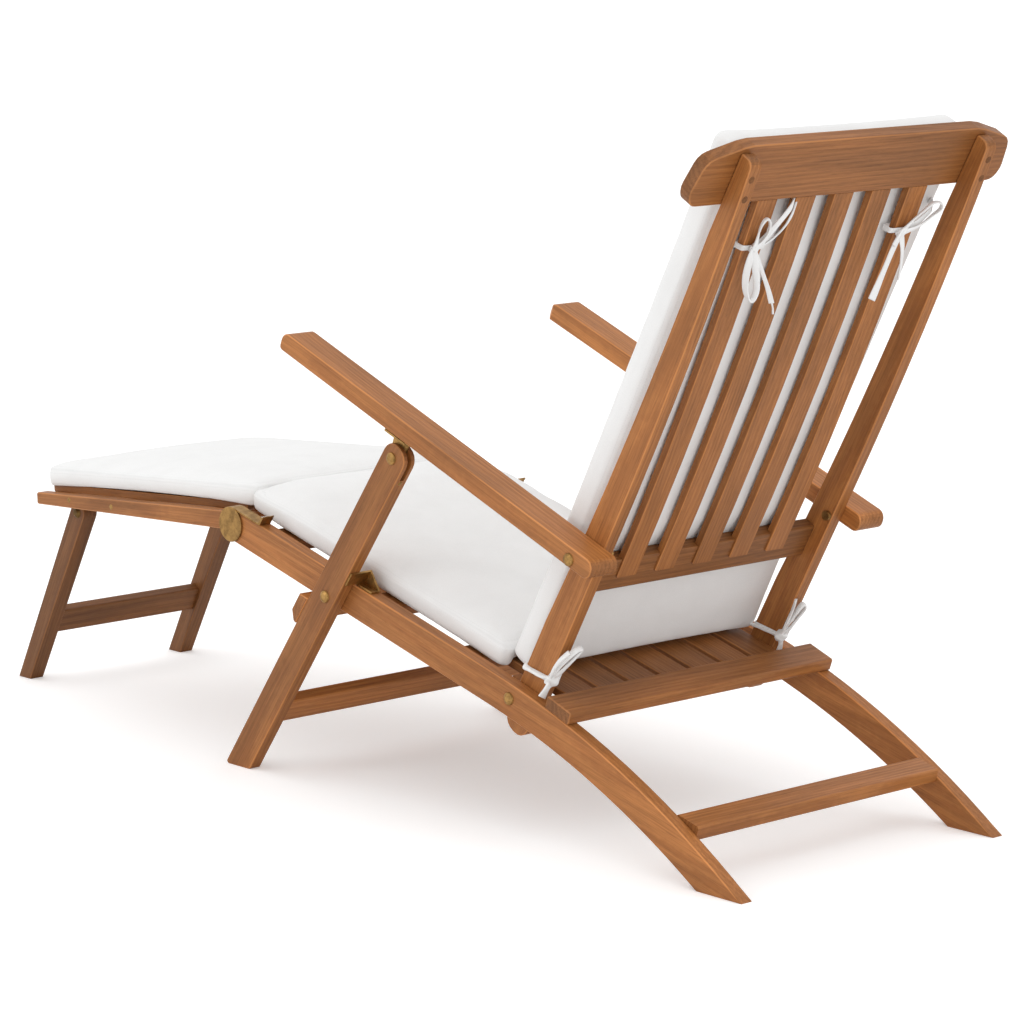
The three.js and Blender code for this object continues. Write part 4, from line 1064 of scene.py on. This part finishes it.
# Each cap against the plug's radius, then its height, and the depth of its dish
PLUG_CAP = (1.0, 0.0004, 0.0)
FOOT_SCREW_CAP = (0.8, 0.0005, 0.0006)
LEG_SCREW_CAP = (0.7, 0.0008, 0.0004)

# The plugs' colours against those of the boards
PLUG_LIGHT, PLUG_DARK, PLUG_GLOSS = 0.6, 0.62, 0.6


def dome(centre, facing, radius, height, hollow):
    """A shallow cap: height times 1 - r^4 over a disc that faces a direction, with its rim drawn down to the board,
    and a small dish in the middle by hollow times (1 - r)^2."""
    facing = unit(np.asarray(facing, float))
    side = unit(np.cross(facing, (0.0, 0.0, 1.0) if abs(facing[2]) < 0.9 else (1.0, 0.0, 0.0)))
    other = np.cross(facing, side)
    angle = np.linspace(0, math.tau, 24, endpoint=False)[None, :]
    reach = np.array([0.08, 0.35, 0.62, 0.85, 0.97, 1.0, 1.0])[:, None]
    rise = height * (1 - reach ** 4) - hollow * (1 - reach) ** 2
    rise[-1] = -height
    outward = np.cos(angle)[..., None] * side + np.sin(angle)[..., None] * other
    return capped_tube(np.asarray(centre) + radius * reach[..., None] * outward + rise[..., None] * facing)


def set_on(board, near, plug_radius, cap):
    """A cap on the spot of a board's surface that is nearest to a point."""
    share, height, hollow = cap
    found, spot, facing, _ = NODES[board].closest_point_on_mesh(Vector(near))
    if not found:
        raise RuntimeError("no surface found on " + board)
    return dome(np.array(spot), np.array(facing), plug_radius * share, height, hollow)


class ChairPlugs(bpy.types.Operator):
    """Timber plugs over the screws of the stiles, and the small screws of the footrest rails and front legs"""
    bl_idname = "deckchair.plugs"
    bl_label = "Plugs and screws"

    def execute(self, context):
        wanted = context.scene.deckchair_timber
        fittings = context.scene.deckchair_brass
        radius = wanted.plug / 2
        light = tuple(c * PLUG_LIGHT for c in wanted.light)
        dark = tuple(c * PLUG_DARK for c in wanted.dark)
        wood = teak("teak plug", (0, 0, 0), (0, 0, 0), light, dark, 91, PLUG_GLOSS)
        metal = brass("brass screws", tuple(fittings.bright), tuple(fittings.tarnish), 92)
        for label, side in (("left", 1), ("right", -1)):
            plugs = [set_on("back_stile_" + label, on_back([side * PLUG_X, PLUG_REARWARD, up]), radius, PLUG_CAP)
                     for up in PLUG_HEIGHTS]
            rail = [set_on("foot_rail_" + label, (side * FOOT_SCREW_X, y, z), radius, FOOT_SCREW_CAP)
                    for y, z in FOOT_SCREWS]
            leg = [set_on("front_leg_" + label, (side * LEG_SCREW[0], *LEG_SCREW[1:]), radius, LEG_SCREW_CAP)]
            for title, parts, made, body, slot in (
                    ("stile_plugs_", plugs, wood, "backrest", "teak"),
                    ("foot_rail_screws_", rail, metal, "footrest", "brass"),
                    ("leg_screw_", leg, metal, "front_legs", "brass")):
                piece = mesh_piece(title + label, *merged(parts))
                piece.data.materials.append(made)
                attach(piece, body)
        return {"FINISHED"}


class ChairPanel(bpy.types.Panel):
    """Lists the chair's settings and the operators that make its parts"""
    bl_label = "Deck chair"
    bl_idname = "VIEW3D_PT_deckchair"
    bl_space_type = "VIEW_3D"
    bl_region_type = "UI"
    bl_category = "Deck chair"

    def draw(self, context):
        for title, group in SETTINGS.items():
            box = self.layout.box()
            for field in group.__annotations__:
                box.prop(getattr(context.scene, title), field)
        for operator in OPERATORS:
            self.layout.operator(operator.bl_idname)


SETTINGS = {
    "deckchair_stage": ChairStageSettings,
    "deckchair_timber": ChairTimberSettings,
    "deckchair_brass": ChairBrassSettings,
    "deckchair_cushions": ChairCushionSettings,
    "deckchair_ties": ChairTieSettings,
}
OPERATORS = [ChairStage, ChairTimber, ChairBrass, ChairCushions, ChairTies, ChairPlugs]


def register():
    """Registers every class, and keeps the settings on the scene."""
    for made in [*SETTINGS.values(), *OPERATORS, ChairPanel]:
        bpy.utils.register_class(made)
    for title, group in SETTINGS.items():
        setattr(bpy.types.Scene, title, bpy.props.PointerProperty(type=group))


def unregister():
    """Takes the settings and classes away again."""
    for title in SETTINGS:
        delattr(bpy.types.Scene, title)
    for made in reversed([*SETTINGS.values(), *OPERATORS, ChairPanel]):
        bpy.utils.unregister_class(made)


def main():
    """Makes the whole chair and its stage."""
    register()
    bpy.ops.deckchair.stage()
    bpy.ops.deckchair.timber()
    bpy.ops.deckchair.brass()
    bpy.ops.deckchair.cushions()
    bpy.ops.deckchair.ties()
    bpy.ops.deckchair.plugs()


if __name__ == "__main__":
    main()
